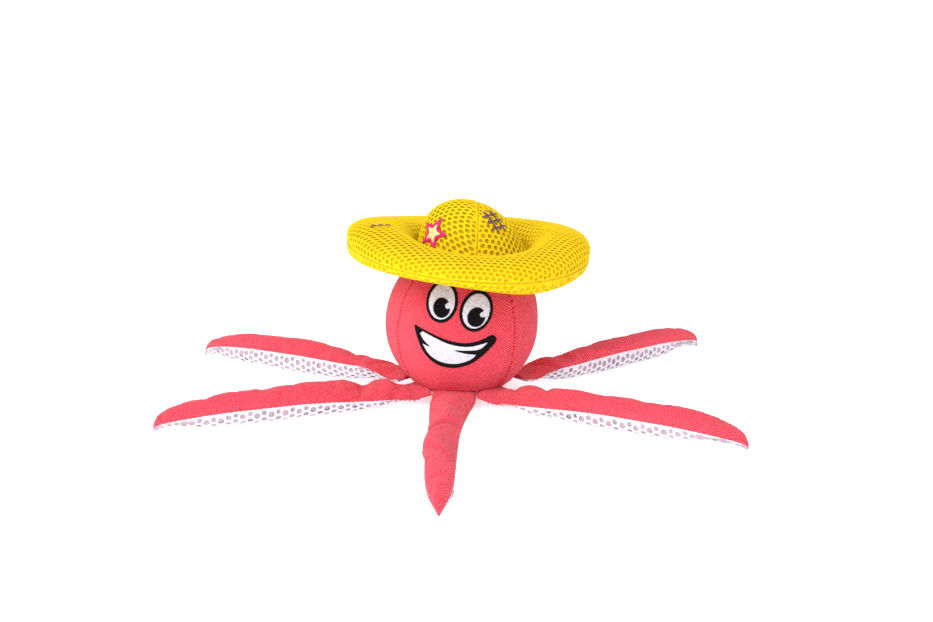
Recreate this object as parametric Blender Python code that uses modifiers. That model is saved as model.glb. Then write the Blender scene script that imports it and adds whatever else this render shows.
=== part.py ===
# A stuffed octopus toy in a wide sun hat: a ball of a head on a flat base, six arms with mesh
# undersides sewn in around the base, a squeaker in the stuffing and a padded mesh hat that rocks
# on top. Metres, +Z up. The origin is the middle of the flat base, and the face looks towards -Y.
import math

import bmesh
import bpy
from mathutils import Matrix, Vector

MM = 0.001

# Head
HEAD_RADIUS = 43.0 * MM  # at the widest ring
BASE_FLAT_DEPTH = 2.7 * MM  # how much of the ball the flat base takes away
HEAD_CENTRE_HEIGHT = HEAD_RADIUS - BASE_FLAT_DEPTH  # the widest ring above the base
HEAD_TOP_RISE = 46.0 * MM  # from the widest ring to the top
HEAD_CLOTH = 1.0 * MM
BASE_SEAM_RADIUS = 28.0 * MM  # where the four panels, the base disc and the arms are sewn together
TOP_OPENING_RADIUS = 2.5 * MM  # where the four panels' points meet
FACE_HEADING = 264.2  # degrees, so the face looks a little to its own right
FRONT_PANEL_ARC = 96.0  # degrees; the other three share the rest
HEAD_SEGMENTS, HEAD_RINGS = 28, 14

SEAM_GAP = 0.6 * MM  # between cloth panels that are sewn edge to edge
STUFFING_GAP = 0.5 * MM  # between the cloth and the stuffing inside it

# Squeaker
BULB_RADIUS = 17.0 * MM
BULB_HALF_HEIGHT = 11.0 * MM
BULB_WALL = 1.0 * MM
BULB_NECK_RADIUS = 5.2 * MM
BULB_NECK_HEIGHT = 6.0 * MM  # above the bulb's top
REED_GAP = 0.3 * MM  # around the reed, inside the neck
REED_BORE_RADIUS = 1.5 * MM
REED_LENGTH = 8.0 * MM
SQUEAKER_HEIGHT = 40.0 * MM  # the bulb's middle above the base
TURN_STEPS = 16

# Face, in a plane before the head: x to the right, y up from the widest ring
FACE_TILT = -8.0  # degrees
THREAD_LIFT = 0.3 * MM  # clear of the cloth below
THREAD_THICKNESS = 0.7 * MM
THREAD_GAP = 0.3 * MM  # between two colours side by side
EYE_SPACING = 18.8 * MM
EYE_HEIGHT = 17.8 * MM
EYE_HALF_WIDTH, EYE_HALF_TALL = 8.5 * MM, 10.3 * MM
EYE_BORDER = 1.3 * MM
EYE_LEAN = 3.0  # degrees
PUPIL_HALF_WIDTH, PUPIL_HALF_TALL = 4.3 * MM, 5.1 * MM
PUPIL_SHIFT = Vector((1.1, -2.4)) * MM  # from the middle of the eye
GLINT_RADIUS = 1.7 * MM
GLINT_SHIFT = Vector((3.3, 1.5)) * MM  # from the middle of the pupil

# Arms: the heading of each root, the heading that the arm points to, its roll about its own
# length, all in degrees, and its sideways bow
HINGE_RADIUS = BASE_SEAM_RADIUS + 6.0 * MM
HINGE_HEIGHT = 4.5 * MM
ARM_ROOT_REACH = 3.0 * MM  # from the hinge in towards the head
ARM_LENGTH = 141.0 * MM
ARM_HALF_WIDTH = 11.0 * MM  # at the root
ARM_ROOT_HALF_THICKNESS = 2.6 * MM  # where it is sewn flat
ARM_HALF_THICKNESS = 5.7 * MM  # a fifth of the way along
ARM_NARROWING, ARM_SWELLING = 0.2, 0.65  # of width and thickness, from there to the middle
ARM_CLOTH = 0.6 * MM
ARM_REST_GAP = 0.3 * MM  # over the surface that the base stands on
ARM_ROOT_RISE = 1.0 * MM
ARM_TIP_DROOP = 2.5 * MM
CLOTH_TIP_GAP = 4.0 * MM  # between the outer and the inner point of the tip
FILLING_TIP_GAP = 14.0 * MM  # the stuffing stops short of the pointed tip
ARM_LAYOUT = (
    ("front", 266.5, 266.7, 0.0, -2.0 * MM),
    ("front_right", 306.0, 331.9, 0.0, -2.5 * MM),
    ("back_right", 8.0, 34.0, -14.0, -2.5 * MM),
    ("back", 91.0, 91.0, 0.0, 3.0 * MM),
    ("back_left", 172.0, 154.6, 22.0, 1.5 * MM),
    ("front_left", 218.0, 199.1, 0.0, 2.5 * MM),
)
ARM_SEGMENTS, ARM_RINGS = 12, 12

# Hat, in its own upright frame before it is tilted about the top of the head
HAT_ROLL, HAT_PITCH = 4.5, 1.5  # degrees: right side down, front down
HAT_CLOTH = 1.2 * MM
HAT_ON_HEAD_GAP = 1.1 * MM
HEAD_TOP = HEAD_CENTRE_HEIGHT + HEAD_TOP_RISE
BRIM_RADIUS = 67.5 * MM
BRIM_INNER_RADIUS = 31.0 * MM
BRIM_SEAM_HEIGHT = HEAD_TOP - 6.3 * MM  # the outer edge's seam
BRIM_VALLEY_HEIGHT = HEAD_TOP - 4.3 * MM  # the inner edge, around the crown
BRIM_UPPER_HALF, BRIM_LOWER_HALF = 9.0 * MM, 6.5 * MM  # swell above and below the seam
CROWN_RADIUS = 29.5 * MM
CROWN_BASE_HEIGHT = HEAD_TOP - 5.3 * MM
CROWN_HEIGHT = 29.0 * MM
CROWN_SIDE_SHIFT = 3.5 * MM  # the crown is sewn in a little off the middle of the brim
CROWN_TOP_SHIFT = -3.0 * MM  # and leans back over it
LINING_RADIUS = CROWN_RADIUS - 5.5 * MM
LINING_THICKNESS = 0.7 * MM
HAT_SEGMENTS, BRIM_STEPS, CROWN_RINGS = 28, 6, 12

# Embroidery on the hat
FLOWER_HEADING, FLOWER_HEIGHT = 222.0, CROWN_BASE_HEIGHT + 12.5 * MM
FLOWER_RADIUS, FLOWER_BORDER = 8.4 * MM, 2.2 * MM
LATTICE_HEADING, LATTICE_HEIGHT = 307.0, CROWN_BASE_HEIGHT + 20.0 * MM
LATTICE_PITCH, LATTICE_REACH, LATTICE_LINE = 5.0 * MM, 7.4 * MM, 0.9 * MM
DASH_HEADING = 193.0
DASH_RADII = (45.5 * MM, 49.5 * MM, 53.5 * MM)
DASH_LENGTH, DASH_WIDTH = 2.8 * MM, 0.9 * MM

HEAD_CURVE_RADIUS = HEAD_RADIUS**2 / HEAD_TOP_RISE  # of the ball's very top
HAT_PIVOT_HEIGHT = HEAD_TOP - HEAD_CURVE_RADIUS
BASE_SEAM_HEIGHT = HEAD_CENTRE_HEIGHT - math.sqrt(HEAD_RADIUS**2 - BASE_SEAM_RADIUS**2)

CORAL = (0.84, 0.10, 0.13)
YELLOW = (0.87, 0.60, 0.01)
WHITE = (0.78, 0.74, 0.80)
BLACK = (0.012, 0.011, 0.012)
STUFFING = (0.85, 0.85, 0.83)


def clear_scene():
    for thing in list(bpy.data.objects):
        bpy.data.objects.remove(thing)


def make_collections():
    groups = []
    for name in ("octopus_toy", "cutters"):
        group = bpy.data.collections.new(name)
        bpy.context.scene.collection.children.link(group)
        groups.append(group)
    return groups


def make_material(name, colour, roughness=0.9, metallic=0.0):
    material = bpy.data.materials.new(name)
    material.use_nodes = True
    shader = material.node_tree.nodes["Principled BSDF"]
    shader.inputs["Base Color"].default_value = (*colour, 1.0)
    shader.inputs["Roughness"].default_value = roughness
    shader.inputs["Metallic"].default_value = metallic
    return material


def make_object(name, mesh, colour=None, roughness=0.9, parent=None):
    """A sub-part in the parts collection, or a cutter when it has no colour."""
    thing = bpy.data.objects.new(name, mesh)
    thing.parent = parent
    if colour is None:
        CUTTERS.objects.link(thing)
        thing.hide_render = True
        thing.display_type = "WIRE"
    else:
        PARTS.objects.link(thing)
        mesh.materials.append(make_material(name, colour, roughness))
    return thing


def make_empty(name, place, turn=Matrix()):
    empty = bpy.data.objects.new(name, None)
    empty.matrix_world = Matrix.Translation(place) @ turn
    empty.empty_display_size = 0.01
    PARTS.objects.link(empty)
    return empty


def to_mesh(name, bm):
    mesh = bpy.data.meshes.new(name)
    bm.to_mesh(mesh)
    bm.free()
    mesh.shade_smooth()
    mesh.set_sharp_from_angle(angle=math.radians(40))
    return mesh


def cut_away(bm, point, normal, close=False):
    """Removes what lies past the plane, on the side that its normal points to."""
    everything = bm.verts[:] + bm.edges[:] + bm.faces[:]
    cut = bmesh.ops.bisect_plane(
        bm, geom=everything, dist=1e-6, plane_co=point, plane_no=normal, clear_outer=True
    )
    if close:
        rim = [edge for edge in cut["geom_cut"] if isinstance(edge, bmesh.types.BMEdge)]
        for face in bmesh.ops.holes_fill(bm, edges=rim, sides=0)["faces"]:
            face.normal_update()
            if face.normal.dot(Vector(normal)) < 0:
                face.normal_flip()


def thicken(thing, thickness):
    """Gives an open cloth surface its thickness, inwards."""
    solidify = thing.modifiers.new("cloth", "SOLIDIFY")
    solidify.thickness = thickness
    solidify.offset = -1.0
    solidify.use_even_offset = True


def boolean(thing, other, operation):
    modifier = thing.modifiers.new(operation.lower(), "BOOLEAN")
    modifier.operation = operation
    modifier.object = other
    modifier.solver = "EXACT"


def unit_ball(segments, rings):
    bm = bmesh.new()
    bmesh.ops.create_uvsphere(bm, u_segments=segments, v_segments=rings, radius=1.0)
    return bm


def along(heading, radius=1.0, height=0.0):
    turn = math.radians(heading)
    return Vector((radius * math.cos(turn), radius * math.sin(turn), height))


# Head


def head_ball(inset=0.0):
    bm = unit_ball(HEAD_SEGMENTS, HEAD_RINGS)
    for vert in bm.verts:
        rise = HEAD_TOP_RISE if vert.co.z > 0 else HEAD_RADIUS
        vert.co.x *= HEAD_RADIUS - inset
        vert.co.y *= HEAD_RADIUS - inset
        vert.co.z = HEAD_CENTRE_HEIGHT + vert.co.z * (rise - inset)
    return bm


def make_head_panels():
    side_arc = (360.0 - FRONT_PANEL_ARC) / 3
    start = FACE_HEADING - FRONT_PANEL_ARC / 2
    opening = TOP_OPENING_RADIUS / HEAD_RADIUS
    top = HEAD_CENTRE_HEIGHT + HEAD_TOP_RISE * math.sqrt(1 - opening**2)
    for side, arc in (("front", FRONT_PANEL_ARC), ("right", side_arc), ("back", side_arc), ("left", side_arc)):
        bm = head_ball()
        for heading in (start - 90, start + arc + 90):
            outwards = along(heading)
            cut_away(bm, -outwards * SEAM_GAP / 2, outwards)
        cut_away(bm, (0, 0, BASE_SEAM_HEIGHT + SEAM_GAP / 2), (0, 0, -1))
        cut_away(bm, (0, 0, top), (0, 0, 1))
        panel = make_object(f"head_panel_{side}", to_mesh(side, bm), CORAL)
        thicken(panel, HEAD_CLOTH)
        start += arc


def make_base_disc():
    bm = head_ball()
    cut_away(bm, (0, 0, BASE_SEAM_HEIGHT - SEAM_GAP / 2), (0, 0, 1))
    cut_away(bm, (0, 0, 0), (0, 0, -1), close=True)
    thicken(make_object("head_base_disc", to_mesh("base_disc", bm), CORAL), HEAD_CLOTH)


def bulb_profile(grow=0.0, steps=7):
    """The bulb's outside, from the mouth of its neck down to the axis below."""
    neck = BULB_NECK_RADIUS + grow
    mouth = BULB_HALF_HEIGHT + BULB_NECK_HEIGHT + grow
    start = math.acos(neck / (BULB_RADIUS + grow))
    profile = [(neck, mouth)]
    for step in range(steps + 1):
        angle = start - (start + math.pi / 2) * step / steps
        profile.append(((BULB_RADIUS + grow) * math.cos(angle), (BULB_HALF_HEIGHT + grow) * math.sin(angle)))
    profile[-1] = (0.0, profile[-1][1])
    return profile


def turned(name, profile, height, colour=None, roughness=0.5, ring=False):
    """A profile turned about Z. A ring's profile closes on itself, and the rest end on the axis."""
    bm = bmesh.new()
    verts = [bm.verts.new((radius, 0, z)) for radius, z in profile]
    for first, second in zip(verts, verts[1:]):
        bm.edges.new((first, second))
    if ring:
        bm.edges.new((verts[-1], verts[0]))
    mesh = bpy.data.meshes.new(name)
    bm.to_mesh(mesh)
    bm.free()
    thing = make_object(name, mesh, colour, roughness)
    thing.location.z = height
    screw = thing.modifiers.new("turn", "SCREW")
    screw.steps = screw.render_steps = TURN_STEPS
    screw.use_merge_vertices = True
    screw.merge_threshold = 1e-6
    return thing


def make_squeaker():
    outside = bulb_profile()
    inside = bulb_profile(-BULB_WALL)
    inside[0] = (inside[0][0], outside[0][1])
    turned("squeaker_bulb", inside[::-1] + outside, SQUEAKER_HEIGHT, (0.9, 0.9, 0.88))
    top = BULB_HALF_HEIGHT + BULB_NECK_HEIGHT
    reed_radius = BULB_NECK_RADIUS - BULB_WALL - REED_GAP
    reed = [(reed_radius, top), (reed_radius, top - REED_LENGTH)]
    reed += [(REED_BORE_RADIUS, top - REED_LENGTH), (REED_BORE_RADIUS, top)]
    turned("squeaker_reed", reed, SQUEAKER_HEIGHT, (0.75, 0.1, 0.1), ring=True)
    pocket = bulb_profile(STUFFING_GAP)
    return turned("squeaker_pocket", [(0.0, pocket[0][1])] + pocket, SQUEAKER_HEIGHT)


def make_head_stuffing(pocket):
    inset = HEAD_CLOTH + STUFFING_GAP
    for side, away in (("upper", -1), ("lower", 1)):
        bm = head_ball(inset)
        cut_away(bm, (0, 0, SQUEAKER_HEIGHT - away * SEAM_GAP / 2), (0, 0, away), close=True)
        if side == "lower":
            cut_away(bm, (0, 0, inset), (0, 0, -1), close=True)
        stuffing = make_object(f"head_stuffing_{side}", to_mesh(side, bm), STUFFING)
        boolean(stuffing, pocket, "DIFFERENCE")


# Embroidery


def patch(name, bm, lift=THREAD_LIFT, parent=None):
    """A thin layer over a cloth surface, which cuts the embroidery out of its prism."""
    bm.normal_update()
    places = [vert.co + vert.normal * lift for vert in bm.verts]
    for vert, place in zip(bm.verts, places):
        vert.co = place
    mesh = bpy.data.meshes.new(name)
    bm.to_mesh(mesh)
    bm.free()
    layer = make_object(name, mesh, parent=parent)
    solidify = layer.modifiers.new("thread", "SOLIDIFY")
    solidify.thickness = THREAD_THICKNESS
    solidify.offset = 1.0
    solidify.use_even_offset = True
    return layer


def prism(name, outlines, depth, place, colour, layer, parent=None):
    """Flat outlines, with holes in them, pushed through a layer and kept where the two meet."""
    curve = bpy.data.curves.new(name, "CURVE")
    curve.dimensions = "2D"
    curve.fill_mode = "BOTH"
    curve.extrude = depth / 2
    for points in outlines:
        spline = curve.splines.new("POLY")
        spline.points.add(len(points) - 1)
        for point, (x, y) in zip(spline.points, points):
            point.co = (x, y, 0, 1)
        spline.use_cyclic_u = True
    guide = bpy.data.objects.new(f"{name}_outline", curve)
    bpy.context.scene.collection.objects.link(guide)
    mesh = bpy.data.meshes.new_from_object(guide.evaluated_get(bpy.context.evaluated_depsgraph_get()))
    bpy.data.objects.remove(guide)
    bm = bmesh.new()
    bm.from_mesh(mesh)
    bmesh.ops.remove_doubles(bm, verts=bm.verts[:], dist=1e-6)
    bmesh.ops.recalc_face_normals(bm, faces=bm.faces[:])
    bm.transform(place)
    thread = make_object(name, to_mesh(name, bm), colour, parent=parent)
    boolean(thread, layer, "INTERSECT")
    return thread


def ellipse(centre, half_width, half_tall, lean=0.0, count=22):
    turn = Matrix.Rotation(math.radians(lean), 2)
    angles = [2 * math.pi * step / count for step in range(count)]
    return [centre + turn @ Vector((half_width * math.cos(a), half_tall * math.sin(a))) for a in angles]


def pupil_outline(centre, count=26):
    """An ellipse with a round bite out of its edge, for the glint."""
    glint = centre + GLINT_SHIFT
    points = []
    for point in ellipse(centre, PUPIL_HALF_WIDTH, PUPIL_HALF_TALL, count=count):
        offset = point - glint
        if offset.length < GLINT_RADIUS:
            inward = centre - glint
            side = offset - offset.project(inward)
            reach = math.sqrt(GLINT_RADIUS**2 - min(side.length, GLINT_RADIUS) ** 2)
            point = glint + side + inward.normalized() * reach
        points.append(point)
    return points


def mm_points(*pairs):
    return [Vector(pair) * MM for pair in pairs]


def mouth_outlines():
    outside = mm_points(
        (-22.2, 5.0), (-14.5, 3.4), (-6.0, 1.6), (2.0, 0.8), (9.0, 1.5), (15.0, 3.9), (18.6, 6.2), (20.8, 6.4),
        (22.2, 4.6), (21.0, 1.6), (17.5, -3.4), (12.5, -8.8), (6.5, -12.6), (0.0, -14.4), (-6.5, -14.0),
        (-12.2, -11.2), (-16.8, -6.4), (-19.8, -1.0), (-21.4, 2.2)
    )
    teeth = mm_points(
        (-17.2, 3.0), (-10.5, 1.3), (-3.0, -0.5), (4.0, -1.0), (10.0, -0.3), (15.6, 1.9), (13.4, -0.9),
        (6.5, -2.2), (1.2, -2.6), (6.0, -3.9), (11.4, -4.3), (8.6, -7.6), (3.6, -10.8), (-2.0, -12.2),
        (-8.0, -11.4), (-12.6, -8.4), (-16.2, -3.8), (-11.8, -4.4), (-16.0, -1.6), (-18.4, 1.4)
    )
    return outside, teeth


def shrink(points, distance):
    """The outline moved in by a distance, corner by corner."""
    moved = []
    turning = sum(a.x * b.y - b.x * a.y for a, b in zip(points, points[1:] + points[:1]))
    side = 1.0 if turning > 0 else -1.0
    for before, point, after in zip(points[-1:] + points[:-1], points, points[1:] + points[:1]):
        first, second = (point - before).normalized(), (after - point).normalized()
        normal = Vector((-first.y - second.y, first.x + second.x)).normalized() * side
        moved.append(point + normal * distance)
    return moved


def make_face():
    front = along(FACE_HEADING)
    face = Matrix(
        ((-front.y, 0, front.x, 0), (front.x, 0, front.y, 0), (0, 1, 0, HEAD_CENTRE_HEIGHT), (0, 0, 0, 1))
    )
    face = face @ Matrix.Translation((0, 0, HEAD_RADIUS)) @ Matrix.Rotation(math.radians(FACE_TILT), 4, "Z")
    layers = []
    for name, lift in (("thread_layer", THREAD_LIFT), ("pupil_layer", 2 * THREAD_LIFT + THREAD_THICKNESS)):
        bm = head_ball()
        cut_away(bm, (0, 0, 0), -front)
        layers.append(patch(name, bm, lift))
    depth = 2 * HEAD_RADIUS
    for side, name in ((-1, "left"), (1, "right")):
        centre = Vector((side * EYE_SPACING / 2, EYE_HEIGHT))
        rims = [
            ellipse(centre, EYE_HALF_WIDTH - inset, EYE_HALF_TALL - inset, -EYE_LEAN)
            for inset in (0.0, EYE_BORDER, EYE_BORDER + THREAD_GAP)
        ]
        prism(f"{name}_eye_outline", rims[:2], depth, face, BLACK, layers[0])
        prism(f"{name}_eye_white", rims[2:], depth, face, WHITE, layers[0])
        pupil = pupil_outline(centre + PUPIL_SHIFT)
        prism(f"{name}_eye_pupil", [pupil], depth, face, BLACK, layers[1])
    outside, teeth = mouth_outlines()
    prism("mouth_outline", [outside, teeth], depth, face, BLACK, layers[0])
    prism("mouth_teeth", [shrink(teeth, THREAD_GAP)], depth, face, WHITE, layers[0])


# Arms


def smooth(value):
    value = min(max(value, 0.0), 1.0)
    return value * value * (3 - 2 * value)


def arm_ends(share):
    """How full the arm is at a share of its length: it is closed at the root and round at the tip."""
    root = math.sqrt(max(0.0, 1 - (1 - share) ** 24))
    tip = max(0.0, 1 - share**9) ** 0.65
    return root * tip


def arm_body(share):
    """Half the width and half the thickness, as if the arm had no ends."""
    middle = smooth((share + 0.03) / 0.55) * (1 - 0.25 * smooth((share - 0.7) / 0.3))
    width = ARM_HALF_WIDTH * (1 - ARM_NARROWING * middle)
    swell = ARM_ROOT_HALF_THICKNESS + (ARM_HALF_THICKNESS - ARM_ROOT_HALF_THICKNESS) * smooth(share / 0.2)
    return width, swell * (1 + ARM_SWELLING * middle)


def arm_size(share):
    width, thickness = arm_body(share)
    return width * arm_ends(share), thickness * arm_ends(share) ** 0.9


def arm_place(share, across, up, roll, bow):
    """A point of an arm's section, in a frame at the hinge with X along the arm."""
    width, thickness = arm_body(share)
    turn = math.radians(roll) * smooth(share / 0.2)
    half_tall = math.hypot(width * math.sin(turn), thickness * math.cos(turn))
    bend = ARM_ROOT_RISE * (1 - smooth(share / 0.25)) - ARM_TIP_DROOP * smooth((share - 0.7) / 0.3)
    height = ARM_REST_GAP + half_tall + bend - HINGE_HEIGHT
    x = share * ARM_LENGTH - ARM_ROOT_REACH
    y = bow * math.sin(math.pi * share) + across * math.cos(turn) - up * math.sin(turn)
    return Vector((x, y, height + across * math.sin(turn) + up * math.cos(turn)))


def arm_surface(bm, verts, inset, tip_gap, lift, roll, bow):
    """Wraps a unit ball's points on the arm's shape, as far inside the outer cloth as the inset."""
    start, stop = 2 * inset / ARM_LENGTH, 1 - tip_gap / ARM_LENGTH
    for vert in verts:
        share = start + (stop - start) * (1 + vert.co.z) / 2
        spread = math.sqrt(max(1 - vert.co.z**2, 0.0))
        fullness = min(1.0, 2.5 * spread) / max(spread, 1e-6) if inset else 1 / max(spread, 1e-6)
        width, thickness = arm_size(share)
        across = (width - inset) * vert.co.x * fullness
        up = (thickness - inset) * vert.co.y * fullness
        vert.co = arm_place(share, across, up + lift, roll, bow)


def arm_panel(upwards, lift, roll, bow):
    """Half of the arm's cloth tube: an outer and an inner surface joined along the seam."""
    bm = bmesh.new()
    for inset, tip_gap in ((0.0, 0.0), (ARM_CLOTH, CLOTH_TIP_GAP)):
        half = unit_ball(ARM_SEGMENTS, ARM_RINGS)
        cut_away(half, (0, 0, 0), (0, -upwards, 0))
        arm_surface(half, half.verts, inset, tip_gap, lift, roll, bow)
        if inset:
            bmesh.ops.reverse_faces(half, faces=half.faces[:])
        mesh = bpy.data.meshes.new("half")
        half.to_mesh(mesh)
        half.free()
        bm.from_mesh(mesh)
        bpy.data.meshes.remove(mesh)
    bmesh.ops.bridge_loops(bm, edges=[edge for edge in bm.edges if edge.is_boundary])
    bmesh.ops.recalc_face_normals(bm, faces=bm.faces[:])
    return bm


def make_arm(side, root, heading, roll, bow):
    turn = Matrix.Rotation(math.radians(heading), 4, "Z")
    hinge = make_empty(f"{side}_arm_hinge", along(root, HINGE_RADIUS, HINGE_HEIGHT), turn)
    top = arm_panel(1, SEAM_GAP, roll, bow)
    make_object(f"{side}_arm_top", to_mesh("top", top), CORAL, parent=hinge)
    underside = arm_panel(-1, 0.0, roll, bow)
    make_object(f"{side}_arm_mesh_underside", to_mesh("underside", underside), WHITE, parent=hinge)
    filling = unit_ball(ARM_SEGMENTS, ARM_RINGS)
    arm_surface(filling, filling.verts, ARM_CLOTH + STUFFING_GAP, FILLING_TIP_GAP, SEAM_GAP / 2, roll, bow)
    make_object(f"{side}_arm_filling", to_mesh("filling", filling), STUFFING, parent=hinge)


# Hat


def crown_shift(height):
    return CROWN_SIDE_SHIFT + (CROWN_TOP_SHIFT - CROWN_SIDE_SHIFT) * max(0.0, height - CROWN_BASE_HEIGHT) / CROWN_HEIGHT


def brim_arc(inset, first, last, lift=0.0):
    """Points of the brim's oval section between two angles: 0 at its outer seam, 180 at the valley."""
    middle = (BRIM_RADIUS + BRIM_INNER_RADIUS) / 2
    half_width = (BRIM_RADIUS - BRIM_INNER_RADIUS) / 2
    steps = round(BRIM_STEPS * (last - first) / 180)
    points = []
    for step in range(steps + 1):
        angle = math.radians(first + (last - first) * step / steps)
        half = BRIM_UPPER_HALF if math.sin(angle) > 0 else BRIM_LOWER_HALF
        seam = BRIM_SEAM_HEIGHT + (BRIM_VALLEY_HEIGHT - BRIM_SEAM_HEIGHT) * (1 - math.cos(angle)) / 2
        radius = middle + (half_width - inset) * math.cos(angle)
        points.append((radius, seam + (half - inset) * math.sin(angle) + lift))
    return points


def brim_ring(section):
    """A closed section turned into a ring, whose inner edge follows the crown's place."""
    bm = bmesh.new()
    rows = []
    for radius, height in section:
        shift = CROWN_SIDE_SHIFT * (BRIM_RADIUS - radius) / (BRIM_RADIUS - BRIM_INNER_RADIUS)
        middle = Vector((shift, 0, height - HAT_PIVOT_HEIGHT))
        rows.append([bm.verts.new(middle + along(360 * turn / HAT_SEGMENTS, radius)) for turn in range(HAT_SEGMENTS)])
    for lower, upper in zip(rows, rows[1:] + rows[:1]):
        for turn in range(HAT_SEGMENTS):
            after = (turn + 1) % HAT_SEGMENTS
            bm.faces.new((lower[turn], lower[after], upper[after], upper[turn]))
    return bm


def crown_dome(inset=0.0, close=False):
    bm = unit_ball(HAT_SEGMENTS, CROWN_RINGS)
    cut_away(bm, (0, 0, 0), (0, 0, -1), close)
    for vert in bm.verts:
        height = CROWN_BASE_HEIGHT + vert.co.z * (CROWN_HEIGHT - inset)
        vert.co.x = vert.co.x * (CROWN_RADIUS - inset) + crown_shift(height)
        vert.co.y *= CROWN_RADIUS - inset
        vert.co.z = height - HAT_PIVOT_HEIGHT
    return bm


def make_hat():
    tilt = Matrix.Rotation(math.radians(HAT_ROLL), 4, "Y") @ Matrix.Rotation(math.radians(HAT_PITCH), 4, "X")
    pivot = make_empty("hat_pivot", (0, 0, HAT_PIVOT_HEIGHT), tilt)
    for name, first, lift in (("upper", 0, SEAM_GAP / 2), ("lower", 180, -SEAM_GAP / 2)):
        outside = brim_arc(0.0, first, first + 180, lift)
        inside = brim_arc(HAT_CLOTH, first, first + 180, lift)
        bm = brim_ring(outside + inside[::-1])
        make_object(f"hat_brim_{name}_mesh", to_mesh(name, bm), YELLOW, parent=pivot)
    bm = brim_ring(brim_arc(HAT_CLOTH + STUFFING_GAP + SEAM_GAP / 2, 0, 360)[:-1])
    make_object("hat_brim_stuffing", to_mesh("brim_stuffing", bm), STUFFING, parent=pivot)
    for name, side in (("left", 1), ("right", -1)):
        bm = crown_dome()
        cut_away(bm, (CROWN_SIDE_SHIFT - side * SEAM_GAP / 2, 0, 0), (side, 0, 0))
        thicken(make_object(f"hat_crown_{name}_panel", to_mesh(name, bm), YELLOW, parent=pivot), HAT_CLOTH)
    make_crown_inside(pivot)
    return pivot


def make_crown_inside(pivot):
    lining_inner = HEAD_CURVE_RADIUS + HAT_ON_HEAD_GAP
    cap_height = math.sqrt(1 - (LINING_RADIUS / lining_inner) ** 2)
    bm = unit_ball(HAT_SEGMENTS, 3 * CROWN_RINGS // 2)
    cut_away(bm, (0, 0, cap_height), (0, 0, -1))
    for vert in bm.verts:
        vert.co *= lining_inner + LINING_THICKNESS
    thicken(make_object("hat_crown_lining", to_mesh("lining", bm), YELLOW, parent=pivot), LINING_THICKNESS)
    bm = unit_ball(HAT_SEGMENTS, 3 * CROWN_RINGS // 2)
    for vert in bm.verts:
        vert.co *= lining_inner + LINING_THICKNESS + STUFFING_GAP
    socket = make_object("hat_socket", to_mesh("socket", bm), parent=pivot)
    bm = crown_dome(HAT_CLOTH + STUFFING_GAP, close=True)
    stuffing = make_object("hat_crown_stuffing", to_mesh("crown_stuffing", bm), STUFFING, parent=pivot)
    boolean(stuffing, socket, "DIFFERENCE")


def crown_mount(heading, height):
    """A frame on the crown's surface whose Z looks out of it and whose Y climbs it."""
    rise = (height - CROWN_BASE_HEIGHT) / CROWN_HEIGHT
    spread = CROWN_RADIUS * math.sqrt(1 - rise**2)
    place = along(heading, spread, height - HAT_PIVOT_HEIGHT) + Vector((crown_shift(height), 0, 0))
    outwards = along(heading, spread / CROWN_RADIUS**2, rise / CROWN_HEIGHT).normalized()
    across = Vector((0, 0, 1)).cross(outwards).normalized()
    climb = outwards.cross(across)
    turn = Matrix((across, climb, outwards)).transposed().to_4x4()
    return Matrix.Translation(place) @ turn


def star(radius, points=5, depth=0.28, per_point=6):
    count = points * per_point
    angles = [2 * math.pi * step / count for step in range(count)]
    return [
        Vector((math.sin(a), math.cos(a))) * radius * (1 - depth + depth * math.cos(points * a)) for a in angles
    ]


def hash_sign(pitch, reach, line):
    """Two lines crossing two lines: its outline, and the window in its middle."""
    near, far = pitch / 2 - line / 2, pitch / 2 + line / 2
    corner = [(far, reach), (near, reach), (near, far), (-near, far), (-near, reach), (-far, reach), (-far, far)]
    outline = []
    for turn in range(4):
        rotate = Matrix.Rotation(turn * math.pi / 2, 2)
        outline += [rotate @ Vector(point) for point in corner]
    window = [Vector((x * near, y * near)) for x, y in ((1, 1), (-1, 1), (-1, -1), (1, -1))]
    return outline, window


def make_hat_embroidery(pivot):
    crown_layer = patch("crown_layer", crown_dome(), parent=pivot)
    depth = CROWN_RADIUS
    flower = crown_mount(FLOWER_HEADING, FLOWER_HEIGHT)
    outside, inside = star(FLOWER_RADIUS), star(FLOWER_RADIUS - FLOWER_BORDER)
    prism("flower_outline", [outside, inside], depth, flower, (0.85, 0.01, 0.16), crown_layer, pivot)
    middle = star(FLOWER_RADIUS - FLOWER_BORDER - THREAD_GAP)
    prism("flower_centre", [middle], depth, flower, (0.95, 0.75, 0.3), crown_layer, pivot)
    lattice = crown_mount(LATTICE_HEADING, LATTICE_HEIGHT)
    sign = hash_sign(LATTICE_PITCH, LATTICE_REACH, LATTICE_LINE)
    prism("lattice_stitches", sign, depth, lattice, (0.16, 0.08, 0.2), crown_layer, pivot)
    thread_top = brim_arc(-THREAD_LIFT - THREAD_THICKNESS, 30, 150, SEAM_GAP / 2)
    thread_base = brim_arc(-THREAD_LIFT, 30, 150, SEAM_GAP / 2)
    thread_ring = brim_ring(thread_top + thread_base[::-1])
    brim_layer = make_object("brim_layer", to_mesh("brim_layer", thread_ring), parent=pivot)
    half_long, half_wide = DASH_LENGTH / 2, DASH_WIDTH / 2
    corners = [Vector((x * half_long, y * half_wide)) for x, y in ((1, 1), (-1, 1), (-1, -1), (1, -1))]
    turn = Matrix.Rotation(math.radians(DASH_HEADING), 4, "Z")
    for number, radius in enumerate(DASH_RADII, 1):
        place = Matrix.Translation(along(DASH_HEADING, radius, BRIM_SEAM_HEIGHT - HAT_PIVOT_HEIGHT)) @ turn
        prism(f"brim_stitch_{number}", [corners], 4 * BRIM_UPPER_HALF, place, (0.16, 0.08, 0.2), brim_layer, pivot)


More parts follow.
